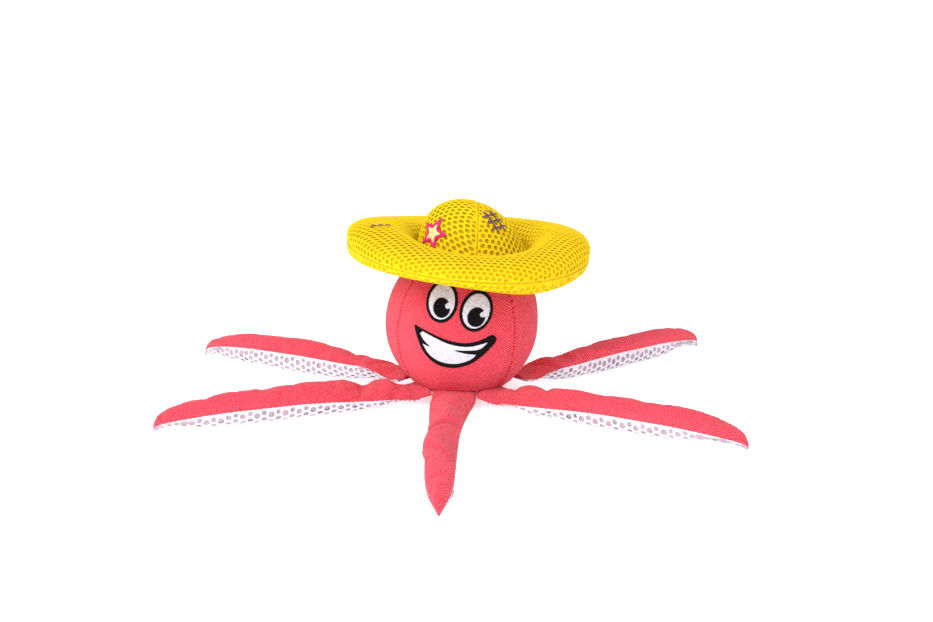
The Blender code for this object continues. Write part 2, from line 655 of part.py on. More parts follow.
clear_scene()
PARTS, CUTTERS = make_collections()
make_head_panels()
make_base_disc()
make_head_stuffing(make_squeaker())
make_face()
for arm in ARM_LAYOUT:
    make_arm(*arm)
make_hat_embroidery(make_hat())
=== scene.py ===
# A stuffed octopus toy with arms of canvas and air mesh, and a padded mesh sun hat on its head.
# Metres, +Z up, base on the floor, face towards -Y. Sizes in the dictionaries are millimetres.
import math

import bmesh
import bpy
from mathutils import Matrix, Vector, noise
from mathutils.bvhtree import BVHTree
from mathutils.geometry import delaunay_2d_cdt


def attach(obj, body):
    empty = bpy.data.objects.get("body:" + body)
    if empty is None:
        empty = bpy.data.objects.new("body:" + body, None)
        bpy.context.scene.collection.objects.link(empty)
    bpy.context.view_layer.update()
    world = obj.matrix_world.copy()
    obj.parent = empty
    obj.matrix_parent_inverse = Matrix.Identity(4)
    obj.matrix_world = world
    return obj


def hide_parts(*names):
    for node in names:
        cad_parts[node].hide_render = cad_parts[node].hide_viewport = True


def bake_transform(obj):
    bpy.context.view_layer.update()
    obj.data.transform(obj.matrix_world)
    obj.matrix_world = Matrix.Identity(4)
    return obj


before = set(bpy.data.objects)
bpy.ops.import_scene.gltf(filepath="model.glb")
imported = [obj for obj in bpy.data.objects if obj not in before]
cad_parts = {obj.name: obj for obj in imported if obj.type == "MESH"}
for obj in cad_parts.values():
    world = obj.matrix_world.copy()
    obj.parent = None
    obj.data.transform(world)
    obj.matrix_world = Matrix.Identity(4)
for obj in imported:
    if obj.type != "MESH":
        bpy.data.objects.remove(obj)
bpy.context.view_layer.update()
mm = 0.001
scene = bpy.context.scene
print("frame loaded:", len(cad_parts), "nodes")


def smooth(value):
    value = min(max(value, 0.0), 1.0)
    return value * value * (3 - 2 * value)


def bump(distance, width):
    return math.exp(-(distance / width) ** 2)


def along(heading, radius=1.0, height=0.0):
    turn = math.radians(heading)
    return Vector((radius * math.cos(turn), radius * math.sin(turn), height))


def makeObject(name, mesh, *materials):
    thing = bpy.data.objects.new(name, mesh)
    scene.collection.objects.link(thing)
    for material in materials:
        mesh.materials.append(material)
    return thing


def makeMesh(name, points, faces=(), edges=()):
    mesh = bpy.data.meshes.new(name)
    mesh.from_pydata([tuple(point) for point in points], list(edges), list(faces))
    mesh.shade_smooth()
    return mesh


# The evaluated shape becomes the object's own plain mesh.
def bakeModifiers(thing):
    graph = bpy.context.evaluated_depsgraph_get()
    shape = thing.evaluated_get(graph)
    mesh = bpy.data.meshes.new_from_object(shape, preserve_all_data_layers=True, depsgraph=graph)
    thing.modifiers.clear()
    thing.data = mesh
    return thing


def roundOff(thing):
    rounding = thing.modifiers.new("rounding", "SUBSURF")
    rounding.levels = rounding.render_levels = 1


def thicken(thing, thickness, softened=False):
    wall = thing.modifiers.new("wall", "SOLIDIFY")
    wall.thickness = thickness
    wall.offset = -1.0
    wall.use_even_offset = False
    if softened:
        roundOff(thing)
    return bakeModifiers(thing)


def joinPieces(name, things):
    bm = bmesh.new()
    materials = []
    for thing in things:
        mesh = thing.data
        start = len(bm.faces)
        bm.from_mesh(mesh)
        bm.faces.ensure_lookup_table()
        places = []
        for material in mesh.materials:
            if material not in materials:
                materials.append(material)
            places.append(materials.index(material))
        for face in bm.faces[start:]:
            face.material_index = places[face.material_index] if places else 0
    joined = bpy.data.meshes.new(name)
    bm.to_mesh(joined)
    bm.free()
    for thing in things:
        bpy.data.objects.remove(thing)
    return makeObject(name, joined, *materials)


def addNode(tree, kind, values=None, **settings):
    node = tree.nodes.new(kind)
    for key, value in settings.items():
        setattr(node, key, value)
    for socket, value in (values or {}).items():
        if isinstance(value, bpy.types.NodeSocket):
            tree.links.new(value, node.inputs[socket])
        else:
            node.inputs[socket].default_value = value
    return node


def maths(tree, operation, first, second=0.0, third=0.0):
    values = {0: first, 1: second, 2: third}
    return addNode(tree, "ShaderNodeMath", values, operation=operation).outputs[0]


def scaleVector(tree, vector, scale):
    return addNode(tree, "ShaderNodeVectorMath", {0: vector, "Scale": scale}, operation="SCALE").outputs[0]


def addNoise(tree, place, scale, detail=2.0):
    return addNode(tree, "ShaderNodeTexNoise", {"Vector": place, "Scale": scale, "Detail": detail}).outputs


def newTree(name, kind, inputs, outputs):
    tree = bpy.data.node_groups.new(name, kind)
    for label, sort, value in inputs:
        socket = tree.interface.new_socket(label, in_out="INPUT", socket_type=f"NodeSocket{sort}")
        if value is not None:
            socket.default_value = value
    for label, sort in outputs:
        tree.interface.new_socket(label, in_out="OUTPUT", socket_type=f"NodeSocket{sort}")
    return tree, tree.nodes.new("NodeGroupInput").outputs, tree.nodes.new("NodeGroupOutput").inputs


# A tree that takes a mesh, some sizes and a material.
def newGeometryTree(name, sizes):
    inputs = [("Geometry", "Geometry", None)]
    inputs += [(label, "Float", size) for label, size in sizes.items()]
    inputs.append(("Material", "Material", None))
    return newTree(name, "GeometryNodeTree", inputs, [("Geometry", "Geometry")])


# Runs a geometry tree over a mesh and keeps the result as a plain mesh.
def runNodes(name, mesh, tree, values):
    thing = makeObject(name, mesh)
    modifier = thing.modifiers.new(tree.name, "NODES")
    modifier.node_group = tree
    for item in tree.interface.items_tree:
        if item.in_out == "INPUT" and item.name in values:
            modifier[item.identifier] = values[item.name]
    return bakeModifiers(thing)


# Plain weave: threads cross over and under, with a gap at each corner. Height and Gap also drive the
# canvas's painted shade: lighter on the crests, dark in the gaps.
def buildWeaveGroup():
    inputs = (("Vector", "Vector", None), ("Pitch", "Float", 1.0), ("Turn", "Float", 0.6))
    outputs = (("Height", "Float"), ("Gap", "Float"), ("Speckle", "Float"))
    tree, given, result = newTree("canvasWeave", "ShaderNodeTree", inputs, outputs)
    angles = {"Vector": given["Vector"], "Angle": given["Turn"]}
    turned = addNode(tree, "ShaderNodeVectorRotate", angles, rotation_type="Z_AXIS").outputs[0]
    scaled = scaleVector(tree, turned, maths(tree, "DIVIDE", 1.0, given["Pitch"]))
    wobble = addNoise(tree, scaled, 0.35, 1.0)["Color"]
    shifted = addNode(tree, "ShaderNodeVectorMath", {0: scaled, 1: wobble}, operation="ADD").outputs[0]
    parts = addNode(tree, "ShaderNodeSeparateXYZ", {0: shifted}).outputs
    waves, cells = [], []
    for axis in (0, 1):
        angle = maths(tree, "MULTIPLY", parts[axis], math.pi)
        waves.append(maths(tree, "ABSOLUTE", maths(tree, "SINE", angle)))
        cells.append(maths(tree, "FLOOR", parts[axis]))
    parity = maths(tree, "FLOORED_MODULO", maths(tree, "ADD", *cells), 2.0)
    warp = maths(tree, "MULTIPLY", waves[0], maths(tree, "MULTIPLY_ADD", waves[1], 0.45, 0.55))
    weft = maths(tree, "MULTIPLY", waves[1], maths(tree, "MULTIPLY_ADD", waves[0], 0.45, 0.55))
    height = addNode(tree, "ShaderNodeMix", {0: parity, 2: warp, 3: weft}).outputs[0]
    gap = maths(tree, "MULTIPLY", *[maths(tree, "SUBTRACT", 1.0, wave) for wave in waves])
    cell = addNode(tree, "ShaderNodeCombineXYZ", {0: cells[0], 1: cells[1]}).outputs[0]
    speckle = addNode(tree, "ShaderNodeTexWhiteNoise", {"Vector": cell}, noise_dimensions="2D")
    for label, value in (("Height", height), ("Gap", gap), ("Speckle", speckle.outputs["Value"])):
        tree.links.new(value, result[label])
    return tree


# Soft tone over the cloth, its grain, and short loose fibres on it.
def buildFibreGroup():
    inputs = (("Vector", "Vector", None), ("Fibre Scale", "Float", 2600.0))
    outputs = (("Tone", "Float"), ("Grain", "Float"), ("Fibre", "Float"))
    tree, given, result = newTree("clothFibre", "ShaderNodeTree", inputs, outputs)
    noises = (("Tone", 45.0, 3.0), ("Grain", 1000.0, 2.0), ("Fibre", given["Fibre Scale"], 2.0))
    for label, scale, detail in noises:
        tree.links.new(addNoise(tree, given["Vector"], scale, detail)[0], result[label])
    return tree


weaveGroup = buildWeaveGroup()
fibreGroup = buildFibreGroup()


def newMaterial(name, roughness, specular=0.3, sheen=0.0, sheenTint=(1, 1, 1)):
    material = bpy.data.materials.new(name)
    material.use_nodes = True
    tree = material.node_tree
    shader = tree.nodes["Principled BSDF"]
    shader.inputs["Roughness"].default_value = roughness
    shader.inputs["Specular IOR Level"].default_value = specular
    shader.inputs["Sheen Weight"].default_value = sheen
    shader.inputs["Sheen Roughness"].default_value = 0.45
    shader.inputs["Sheen Tint"].default_value = (*sheenTint, 1.0)
    return material, tree, shader, addNode(tree, "ShaderNodeTexCoord").outputs["Object"]


def shadeBetween(tree, shader, dark, light, amount):
    mix = addNode(tree, "ShaderNodeMix", {0: amount, 6: (*dark, 1.0), 7: (*light, 1.0)}, data_type="RGBA")
    tree.links.new(mix.outputs[2], shader.inputs["Base Color"])


def roughenSurface(tree, shader, pattern, spread, lowest, height, depth):
    tree.links.new(maths(tree, "MULTIPLY_ADD", pattern, spread, lowest), shader.inputs["Roughness"])
    relief = addNode(tree, "ShaderNodeBump", {"Height": height, "Distance": depth, "Strength": 1.0})
    tree.links.new(relief.outputs[0], shader.inputs["Normal"])


# Woven canvas that follows the piece's own cloth map, with painted shade: the threads' crests lighter and
# the gaps between them dark, over a random tone.
def makeCanvas(name, light, dark, pitch, turn):
    material, tree, shader, place = newMaterial(name, 0.85, 0.12, 0.26, (1.0, 0.60, 0.66))
    clothMap = addNode(tree, "ShaderNodeUVMap", uv_map="cloth").outputs[0]
    sizes = {"Vector": clothMap, "Pitch": pitch, "Turn": turn}
    weave = addNode(tree, "ShaderNodeGroup", sizes, node_tree=weaveGroup).outputs
    fibre = addNode(tree, "ShaderNodeGroup", {"Vector": place}, node_tree=fibreGroup).outputs
    # painted shade: the higher a thread stands, the lighter it is painted
    amount = maths(tree, "ADD", weave["Height"], 0.08)
    amount = maths(tree, "MULTIPLY_ADD", weave["Speckle"], 0.34, amount)
    amount = maths(tree, "MULTIPLY_ADD", fibre["Tone"], 0.3, maths(tree, "SUBTRACT", amount, 0.15))
    # painted shade in the gaps between threads
    amount = maths(tree, "SUBTRACT", amount, maths(tree, "MULTIPLY", weave["Gap"], 0.9))
    shadeBetween(tree, shader, dark, light, addNode(tree, "ShaderNodeClamp", {0: amount}).outputs[0])
    height = maths(tree, "MULTIPLY_ADD", fibre["Fibre"], 0.25, weave["Height"])
    roughenSurface(tree, shader, fibre["Fibre"], 0.2, 0.74, height, 0.45 * mm)
    return material


# Soft knitted yarn, toned over the piece and furred with fine fibre.
def makeKnit(name, light, dark, relief, fibreScale=2200.0, sheen=0.25):
    material, tree, shader, place = newMaterial(name, 0.75, 0.12, sheen, light)
    sizes = {"Vector": place, "Fibre Scale": fibreScale}
    fibre = addNode(tree, "ShaderNodeGroup", sizes, node_tree=fibreGroup).outputs
    amount = maths(tree, "MULTIPLY_ADD", fibre["Tone"], 0.5, -0.75)
    amount = maths(tree, "MULTIPLY_ADD", fibre["Grain"], 1.4, amount)
    amount = maths(tree, "MULTIPLY_ADD", fibre["Fibre"], 0.7, amount)
    shadeBetween(tree, shader, dark, light, addNode(tree, "ShaderNodeClamp", {0: amount}).outputs[0])
    height = maths(tree, "ADD", fibre["Fibre"], fibre["Grain"])
    roughenSurface(tree, shader, fibre["Fibre"], 0.3, 0.55, height, relief)
    return material


# Shiny embroidery thread with a little change from strand to strand.
def makeThread(name, light, dark, roughness=0.45, specular=0.25):
    material, tree, shader, place = newMaterial(name, roughness, specular)
    strand = addNoise(tree, place, 900.0)[0]
    sharp = addNode(tree, "ShaderNodeMapRange", {"Value": strand, "From Min": 0.35, "From Max": 0.62})
    shadeBetween(tree, shader, dark, light, sharp.outputs[0])
    roughenSurface(tree, shader, strand, 0.3, roughness - 0.1, strand, 0.12 * mm)
    return material


def makePlastic(name, colour, roughness):
    material, tree, shader, place = newMaterial(name, roughness, 0.5)
    haze = addNoise(tree, place, 300.0, 4.0)[0]
    shadeBetween(tree, shader, [0.85 * part for part in colour], colour, haze)
    roughenSurface(tree, shader, haze, 0.2, roughness - 0.1, haze, 0.05 * mm)
    return material


# coral: the dark colour is painted shade for the weave's gaps, the light one the threads' lit crests
coralCanvas = makeCanvas("coral_canvas", (1.0, 0.098, 0.145), (0.50, 0.004, 0.018), 1.15 * mm, 0.62)
yellowNet = makeKnit("yellow_net", (0.92, 0.68, 0.005), (0.70, 0.44, 0.002), 0.35 * mm, sheen=0.08)
# the stuffings under the yellow mesh: a darker amber than the mesh, partly their own colour and partly
# painted shade seen in the holes; the crown's is painted darker still
crownStuffing = makeKnit("crown_stuffing", (0.55, 0.34, 0.005), (0.36, 0.20, 0.002), 0.4 * mm, 1500.0, 0.05)
yellowCore = makeKnit("yellow_core", (0.80, 0.50, 0.004), (0.60, 0.32, 0.002), 0.4 * mm, 1500.0, 0.1)
whiteNet = makeKnit("white_net", (0.80, 0.77, 0.83), (0.62, 0.57, 0.64), 0.2 * mm, sheen=0.15)
# the arm's core under the white mesh: lavender grey, a painted shadow seen in the mesh's holes
holeShadowCore = makeKnit("hole_shadow_core", (0.52, 0.40, 0.48), (0.36, 0.26, 0.33), 0.3 * mm, 1500.0)
# head seams: red thread, its own red painted darker as shade of the sunken seam it lies in
redThread = makeThread("seam_thread_red", (0.30, 0.014, 0.026), (0.15, 0.008, 0.015), 0.7)
coralThread = makeThread("seam_thread_coral", (0.75, 0.06, 0.09), (0.45, 0.02, 0.035), 0.7)
yellowThread = makeThread("seam_thread_yellow", (0.78, 0.50, 0.004), (0.55, 0.32, 0.002), 0.6)
blackThread = makeThread("black_thread", (0.008, 0.007, 0.008), (0.002, 0.002, 0.003), 0.65, 0.1)
whiteThread = makeThread("white_thread", (0.78, 0.79, 0.90), (0.60, 0.60, 0.71))
pinkThread = makeThread("pink_thread", (0.80, 0.022, 0.16), (0.55, 0.01, 0.09))
creamThread = makeThread("cream_thread", (0.98, 0.76, 0.36), (0.86, 0.58, 0.2))
purpleThread = makeThread("purple_thread", (0.17, 0.075, 0.16), (0.09, 0.035, 0.09))
print("materials made")


def finishTree(tree, geometry, given, result):
    smoothed = addNode(tree, "GeometryNodeSetShadeSmooth", {0: geometry}).outputs[0]
    realized = addNode(tree, "GeometryNodeRealizeInstances", {0: smoothed}).outputs[0]
    values = {"Geometry": realized, "Material": given["Material"]}
    tree.links.new(addNode(tree, "GeometryNodeSetMaterial", values).outputs[0], result["Geometry"])
    return tree


# Air mesh: each point of a triangle lattice becomes a cell with a round hole in it.
def buildMeshNetTree():
    tree, given, result = newGeometryTree("meshNet", {"Hole Size": 0.6, "Rim Drop": 0.0002})
    cells = addNode(tree, "GeometryNodeDualMesh", {"Mesh": given["Geometry"], "Keep Boundaries": True})
    hole = addNode(tree, "GeometryNodeInputNamedAttribute", {"Name": "hole"}, data_type="FLOAT")
    isHole = maths(tree, "GREATER_THAN", hole.outputs["Attribute"], 0.5)
    values = {"Mesh": cells.outputs[0], "Selection": isHole, "Offset Scale": 0.0, "Individual": True}
    extruded = addNode(tree, "GeometryNodeExtrudeMesh", values, mode="FACES").outputs
    top = extruded["Top"]
    values = {"Geometry": extruded["Mesh"], "Selection": top, "Scale": given["Hole Size"]}
    shrunk = addNode(tree, "GeometryNodeScaleElements", values, domain="FACE").outputs[0]
    normal = addNode(tree, "GeometryNodeInputNormal").outputs[0]
    offset = scaleVector(tree, normal, maths(tree, "MULTIPLY", given["Rim Drop"], -1.0))
    values = {"Geometry": shrunk, "Selection": top, "Offset": offset}
    dropped = addNode(tree, "GeometryNodeSetPosition", values).outputs[0]
    values = {"Geometry": dropped, "Selection": top}
    opened = addNode(tree, "GeometryNodeDeleteGeometry", values, domain="FACE", mode="ONLY_FACE")
    return finishTree(tree, opened.outputs[0], given, result)


# Each run of edges becomes one stitch of thread, a little thinner at its ends.
def buildThreadTree():
    tree, given, result = newGeometryTree("stitchThreads", {"Thread Radius": 0.0002, "End Taper": 0.5})
    curve = addNode(tree, "GeometryNodeMeshToCurve", {"Mesh": given["Geometry"]}).outputs[0]
    share = addNode(tree, "GeometryNodeSplineParameter").outputs["Factor"]
    centred = maths(tree, "MULTIPLY_ADD", share, 2.0, -1.0)
    end = maths(tree, "POWER", maths(tree, "ABSOLUTE", centred), 4.0)
    radius = maths(tree, "SUBTRACT", 1.0, maths(tree, "MULTIPLY", end, given["End Taper"]))
    sized = addNode(tree, "GeometryNodeSetCurveRadius", {"Curve": curve, "Radius": radius}).outputs[0]
    values = {"Resolution": 6, "Radius": given["Thread Radius"]}
    profile = addNode(tree, "GeometryNodeCurvePrimitiveCircle", values, mode="RADIUS").outputs[0]
    values = {"Curve": sized, "Profile Curve": profile, "Fill Caps": True}
    tubes = addNode(tree, "GeometryNodeCurveToMesh", values).outputs[0]
    return finishTree(tree, tubes, given, result)


# Short stitches laid end to end along a path.
def buildSeamTree():
    sizes = {"Stitch Pitch": 0.003, "Stitch Length": 0.0022, "Thread Radius": 0.00025}
    tree, given, result = newGeometryTree("seamStitches", sizes)
    curve = addNode(tree, "GeometryNodeMeshToCurve", {"Mesh": given["Geometry"]}).outputs[0]
    values = {"Curve": curve, "Length": given["Stitch Pitch"]}
    places = addNode(tree, "GeometryNodeResampleCurve", values, mode="LENGTH").outputs[0]
    tangent = addNode(tree, "GeometryNodeInputTangent").outputs[0]
    turn = addNode(tree, "FunctionNodeAlignRotationToVector", {"Vector": tangent}, axis="X").outputs[0]
    bead = addNode(tree, "GeometryNodeMeshUVSphere", {"Segments": 6, "Rings": 5, "Radius": 0.5}).outputs[0]
    wide = maths(tree, "MULTIPLY", given["Thread Radius"], 2.0)
    size = addNode(tree, "ShaderNodeCombineXYZ", {0: given["Stitch Length"], 1: wide, 2: wide}).outputs[0]
    values = {"Points": places, "Instance": bead, "Rotation": turn, "Scale": size}
    placed = addNode(tree, "GeometryNodeInstanceOnPoints", values).outputs[0]
    return finishTree(tree, placed, given, result)


meshNetTree = buildMeshNetTree()
threadTree = buildThreadTree()
seamTree = buildSeamTree()


def makeThreads(name, runs, radius, material, taper=0.5):
    points, edges = [], []
    for run in runs:
        start = len(points)
        points += run
        edges += [(start + step, start + step + 1) for step in range(len(run) - 1)]
    values = {"Thread Radius": radius * mm, "End Taper": taper, "Material": material}
    return runNodes(name, makeMesh(name, points, edges=edges), threadTree, values)


def makeSeam(name, path, material, pitch=3.0, length=2.3, radius=0.25):
    edges = [(step, step + 1) for step in range(len(path) - 1)]
    sizes = {"Stitch Pitch": pitch * mm, "Stitch Length": length * mm, "Thread Radius": radius * mm}
    return runNodes(name, makeMesh(name, path, edges=edges), seamTree, {**sizes, "Material": material})


# holes says which lattice points open into a hole; the rest stay closed, as at a seam.
def makeNet(name, points, holes, triangles, holeSize, drop, thickness, material):
    mesh = makeMesh(name, points, triangles)
    mark = mesh.attributes.new("hole", "FLOAT", "POINT")
    mark.data.foreach_set("value", [float(hole) for hole in holes])
    values = {"Hole Size": holeSize, "Rim Drop": drop * mm, "Material": material}
    return thicken(runNodes(name, mesh, meshNetTree, values), thickness * mm, softened=True)


# Delaunay triangles over flat points, where keep(middle) is true, all facing up.
def triangulate(flatPoints, keep, edges=()):
    verts, _, faces, origins, _, _ = delaunay_2d_cdt(flatPoints, list(edges), [], 0, 1e-5)
    kept = []
    for face in faces:
        corners = [verts[index] for index in face]
        middle = (corners[0] + corners[1] + corners[2]) / 3
        if keep(middle):
            twist = (corners[1] - corners[0]).cross(corners[2] - corners[0])
            kept.append(list(face) if twist > 0 else list(face)[::-1])
    return verts, kept, origins


# Quads between rows of points that wrap round.
def gridFaces(rows, columns):
    faces = []
    for row in range(rows - 1):
        for column in range(columns):
            after = (column + 1) % columns
            base = row * columns
            faces.append((base + column, base + after, base + columns + after, base + columns + column))
    return faces


# Rows of points that wrap round, read anywhere between them by a row and a column number.
class ClothGrid:
    def __init__(self, rows):
        self.rows = rows
        self.count = len(rows[0])
        self.normals = []
        last = len(rows) - 1
        for number, row in enumerate(rows):
            before, after = rows[max(number - 1, 0)], rows[min(number + 1, last)]
            line = []
            for column in range(self.count):
                across = row[(column + 1) % self.count] - row[column - 1]
                down = after[column] - before[column]
                normal = across.cross(down)
                line.append(normal.normalized() if normal.length > 1e-12 else Vector((0, 0, 1)))
            self.normals.append(line)

    def blend(self, table, row, column):
        row = min(max(row, 0.0), len(self.rows) - 1.001)
        first, side = int(row), int(math.floor(column))
        down, across = row - first, column - side
        left, right = side % self.count, (side + 1) % self.count
        upper = table[first][left].lerp(table[first][right], across)
        lower = table[first + 1][left].lerp(table[first + 1][right], across)
        return upper.lerp(lower, down)

    def at(self, row, column, lift=0.0):
        place = self.blend(self.rows, row, column)
        return place + self.blend(self.normals, row, column).normalized() * lift if lift else place


puffing = {"pressure": 4.0, "growth": 0.05, "bending": 0.3, "frames": 20, "furthestMove": 2.0}


# Puffs a tube of cloth points with Blender's Cloth, and caps how far each may move.
def inflate(rows, pinned):
    count = len(rows[0])
    points = [point for row in rows for point in row]
    faces = gridFaces(len(rows), count)
    faces += [tuple(range(count))[::-1], tuple(range(len(points) - count, len(points)))]
    thing = makeObject("inflating", makeMesh("inflating", points, faces))
    group = thing.vertex_groups.new(name="pinned")
    for number, row in enumerate(rows):
        for column in range(count):
            weight = pinned(number, column)
            if weight > 0:
                group.add([number * count + column], weight, "REPLACE")
    cloth = thing.modifiers.new("cloth", "CLOTH")
    cloth.settings.vertex_group_mass = "pinned"
    cloth.settings.use_pressure = True
    cloth.settings.uniform_pressure_force = puffing["pressure"]
    cloth.settings.shrink_min = -puffing["growth"]
    cloth.settings.effector_weights.gravity = 0
    cloth.settings.bending_stiffness = puffing["bending"]
    for step in range(1, puffing["frames"] + 1):
        scene.frame_set(step)
    puffed = thing.evaluated_get(bpy.context.evaluated_depsgraph_get()).data
    moved = []
    cap = puffing["furthestMove"] * mm
    for before, vertex in zip(points, puffed.vertices):
        move = vertex.co - before
        if move.length > cap:
            move *= cap / move.length
        moved.append(before + move)
    bpy.data.objects.remove(thing)
    scene.frame_set(1)
    return [moved[start:start + count] for start in range(0, len(moved), count)]


head = {
    "radius": 43.0, "middleHeight": 40.3, "topRise": 46.0, "lean": 0.045,
    "baseSeamRadius": 28.0, "baseLevel": 0.35, "baseRounding": 0.6,
    "faceHeading": 264.2, "frontArc": 96.0,
    "seamDepth": 1.15, "seamWidth": 0.5, "stitchPitch": 2.9, "pucker": 0.35,
    "ridgeHeight": 0.22, "ridgeDistance": 1.9, "ridgeWidth": 1.1, "softness": 0.35,
    "columnsPerPanel": 60, "crowding": 0.78, "rowStep": 0.024, "fineRowStep": 0.009,
}
panelArcs = [head["frontArc"]] + [(360.0 - head["frontArc"]) / 3] * 3
panelStarts = [head["faceHeading"] - head["frontArc"] / 2 + sum(panelArcs[:number]) for number in range(4)]
baseSeamAngle = math.pi - math.asin(head["baseSeamRadius"] / head["radius"])


# A point of the ball: angle 0 is its top and 180 degrees the middle of its flat base.
def headPoint(heading, angle, lift=0.0):
    radius = head["radius"] + lift
    rise = (head["topRise"] if angle < math.pi / 2 else head["radius"]) + lift
    spread, height = radius * math.sin(angle), head["middleHeight"] + rise * math.cos(angle)
    low = height - head["baseLevel"]
    height = head["baseLevel"] + (low + math.sqrt(low * low + head["baseRounding"])) / 2
    side = head["lean"] * max(0.0, height - head["middleHeight"])
    return (along(heading, spread, height) + Vector((side, 0, 0))) * mm


# How far the cloth sinks into a sewn seam, with a plump ridge and puckers on both sides.
def headDent(angle, seamDistance):
    climb = angle * head["radius"]
    pucker = 1 + head["pucker"] * math.sin(2 * math.pi * climb / head["stitchPitch"])
    valley = head["seamDepth"] * bump(seamDistance, head["seamWidth"]) * (0.8 + 0.2 * pucker)
    ridge = bump(abs(seamDistance) - head["ridgeDistance"], head["ridgeWidth"])
    ridge = head["ridgeHeight"] * ridge * pucker
    fade = smooth(math.sin(angle) * 6) * smooth((baseSeamAngle + 0.02 - angle) * 20)
    baseDistance = (angle - baseSeamAngle) * head["radius"]
    base = 1.1 * bump(baseDistance, 0.8) - 0.25 * bump(abs(baseDistance) - 2.4, 1.4)
    return (valley - ridge) * fade + base


# The rows of the skin from its top to its base, closer together by the base seam.
def headAngles():
    poleGap, seamZone = 0.03, 0.07
    angles, angle = [], poleGap
    while angle < math.pi - poleGap:
        angles.append(angle)
        angle += head["fineRowStep"] if abs(angle - baseSeamAngle) < seamZone else head["rowStep"]
    return angles


def makeHead():
    angles = headAngles()
    columns = head["columnsPerPanel"]
    rows = []
    for angle in angles:
        row = []
        for start, arc in zip(panelStarts, panelArcs):
            for step in range(columns):
                share = step / columns
                share -= head["crowding"] * math.sin(2 * math.pi * share) / (2 * math.pi)
                heading = start + arc * share
                near = min(share, 1 - share) * math.radians(arc) * head["radius"] * math.sin(angle)
                soft = head["softness"] * noise.noise(along(heading, 2.2, angle * 2.2))
                soft *= smooth(math.sin(angle) * 3)
                row.append(headPoint(heading, angle, soft - headDent(angle, near)))
        rows.append(row)
    total = 4 * columns
    faces = gridFaces(len(rows), total)
    faces += [tuple(range(total))[::-1], tuple(range((len(rows) - 1) * total, len(rows) * total))]
    faces = [face[::-1] for face in faces]
    mesh = makeMesh("head_skin", [point for row in rows for point in row], faces)
    layer = mesh.uv_layers.new(name="cloth")
    panelShift = 7.3  # no two panels' weaves line up
    for number, face in enumerate(mesh.polygons):
        panel = number % total // columns if number < len(faces) - 2 else 0
        middle = panelStarts[panel] + panelArcs[panel] / 2
        for loop in face.loop_indices:
            place = mesh.vertices[mesh.loops[loop].vertex_index].co / mm
            height = place.z - head["middleHeight"]
            turn = math.degrees(math.atan2(place.y, place.x - head["lean"] * max(0.0, height)))
            turn = (turn - middle + 180) % 360 - 180
            spread = math.hypot(place.x, place.y)
            across = math.radians(turn) * max(spread, 12.0)
            climb = math.atan2(height, spread) * head["radius"]
            if height < -head["middleHeight"] + 1.5:
                across, climb = place.x, place.y
            layer.data[loop].uv = (across * mm, (climb + panel * panelShift) * mm)
    skin = makeObject("head_skin", mesh, coralCanvas)
    return skin, rows, angles


headSkin, headRows, headRowAngles = makeHead()
headCorners = [tuple(face.vertices) for face in headSkin.data.polygons]
headTree = BVHTree.FromPolygons([vertex.co for vertex in headSkin.data.vertices], headCorners)
print("head made:", len(headSkin.data.polygons), "faces")


def makeHeadSeams():
    pieces = []
    for number in range(4):
        column = number * head["columnsPerPanel"]
        path = []
        for row, angle in zip(headRows, headRowAngles):
            if 0.25 < angle < baseSeamAngle - 0.03:
                outward = (row[column] - Vector((0, 0, head["middleHeight"] * mm))).normalized()
                path.append(row[column] + outward * 0.05 * mm)
        pieces.append(makeSeam(f"head_seam_{number}", path, redThread, head["stitchPitch"], 2.1, 0.17))
    return joinPieces("head_seam_thread", pieces)


headSeams = makeHeadSeams()


# Points at an even spacing round a closed outline, in flat millimetres like all the embroidery.
def resample(points, spacing):
    result, carried = [], 0.0
    for first, second in zip(points, points[1:] + points[:1]):
        length = (second - first).length
        reach = carried
        while reach < length:
            result.append(first.lerp(second, reach / length))
            reach += spacing
        carried = reach - length
    return result


# A smooth closed outline through the points, which keeps the sharp corners.
def rounded(points, steps=6, sharpest=55.0):
    count, tangents = len(points), []
    for index, point in enumerate(points):
        before, after = point - points[index - 1], points[(index + 1) % count] - point
        isCorner = before.angle(after) >= math.radians(sharpest)
        tangents.append(Vector((0, 0)) if isCorner else (before + after) / 2)
    outline = []
    for index, point in enumerate(points):
        after, leaving = points[(index + 1) % count], tangents[index]
        arriving = tangents[(index + 1) % count]
        for step in range(steps):
            t = step / steps
            square, cube = t * t, t * t * t
            place = point * (2 * cube - 3 * square + 1) + after * (3 * square - 2 * cube)
            outline.append(place + leaving * (cube - 2 * square + t) + arriving * (cube - square))
    return outline


def crossings(outlines, height):
    found = []
    for outline in outlines:
        for first, second in zip(outline, outline[1:] + outline[:1]):
            if (first.y > height) != (second.y > height):
                share = (height - first.y) / (second.y - first.y)
                found.append(first.x + share * (second.x - first.x))
    return sorted(found)


def isInside(outlines, point):
    return sum(cross > point.x for cross in crossings(outlines, point.y)) % 2 == 1


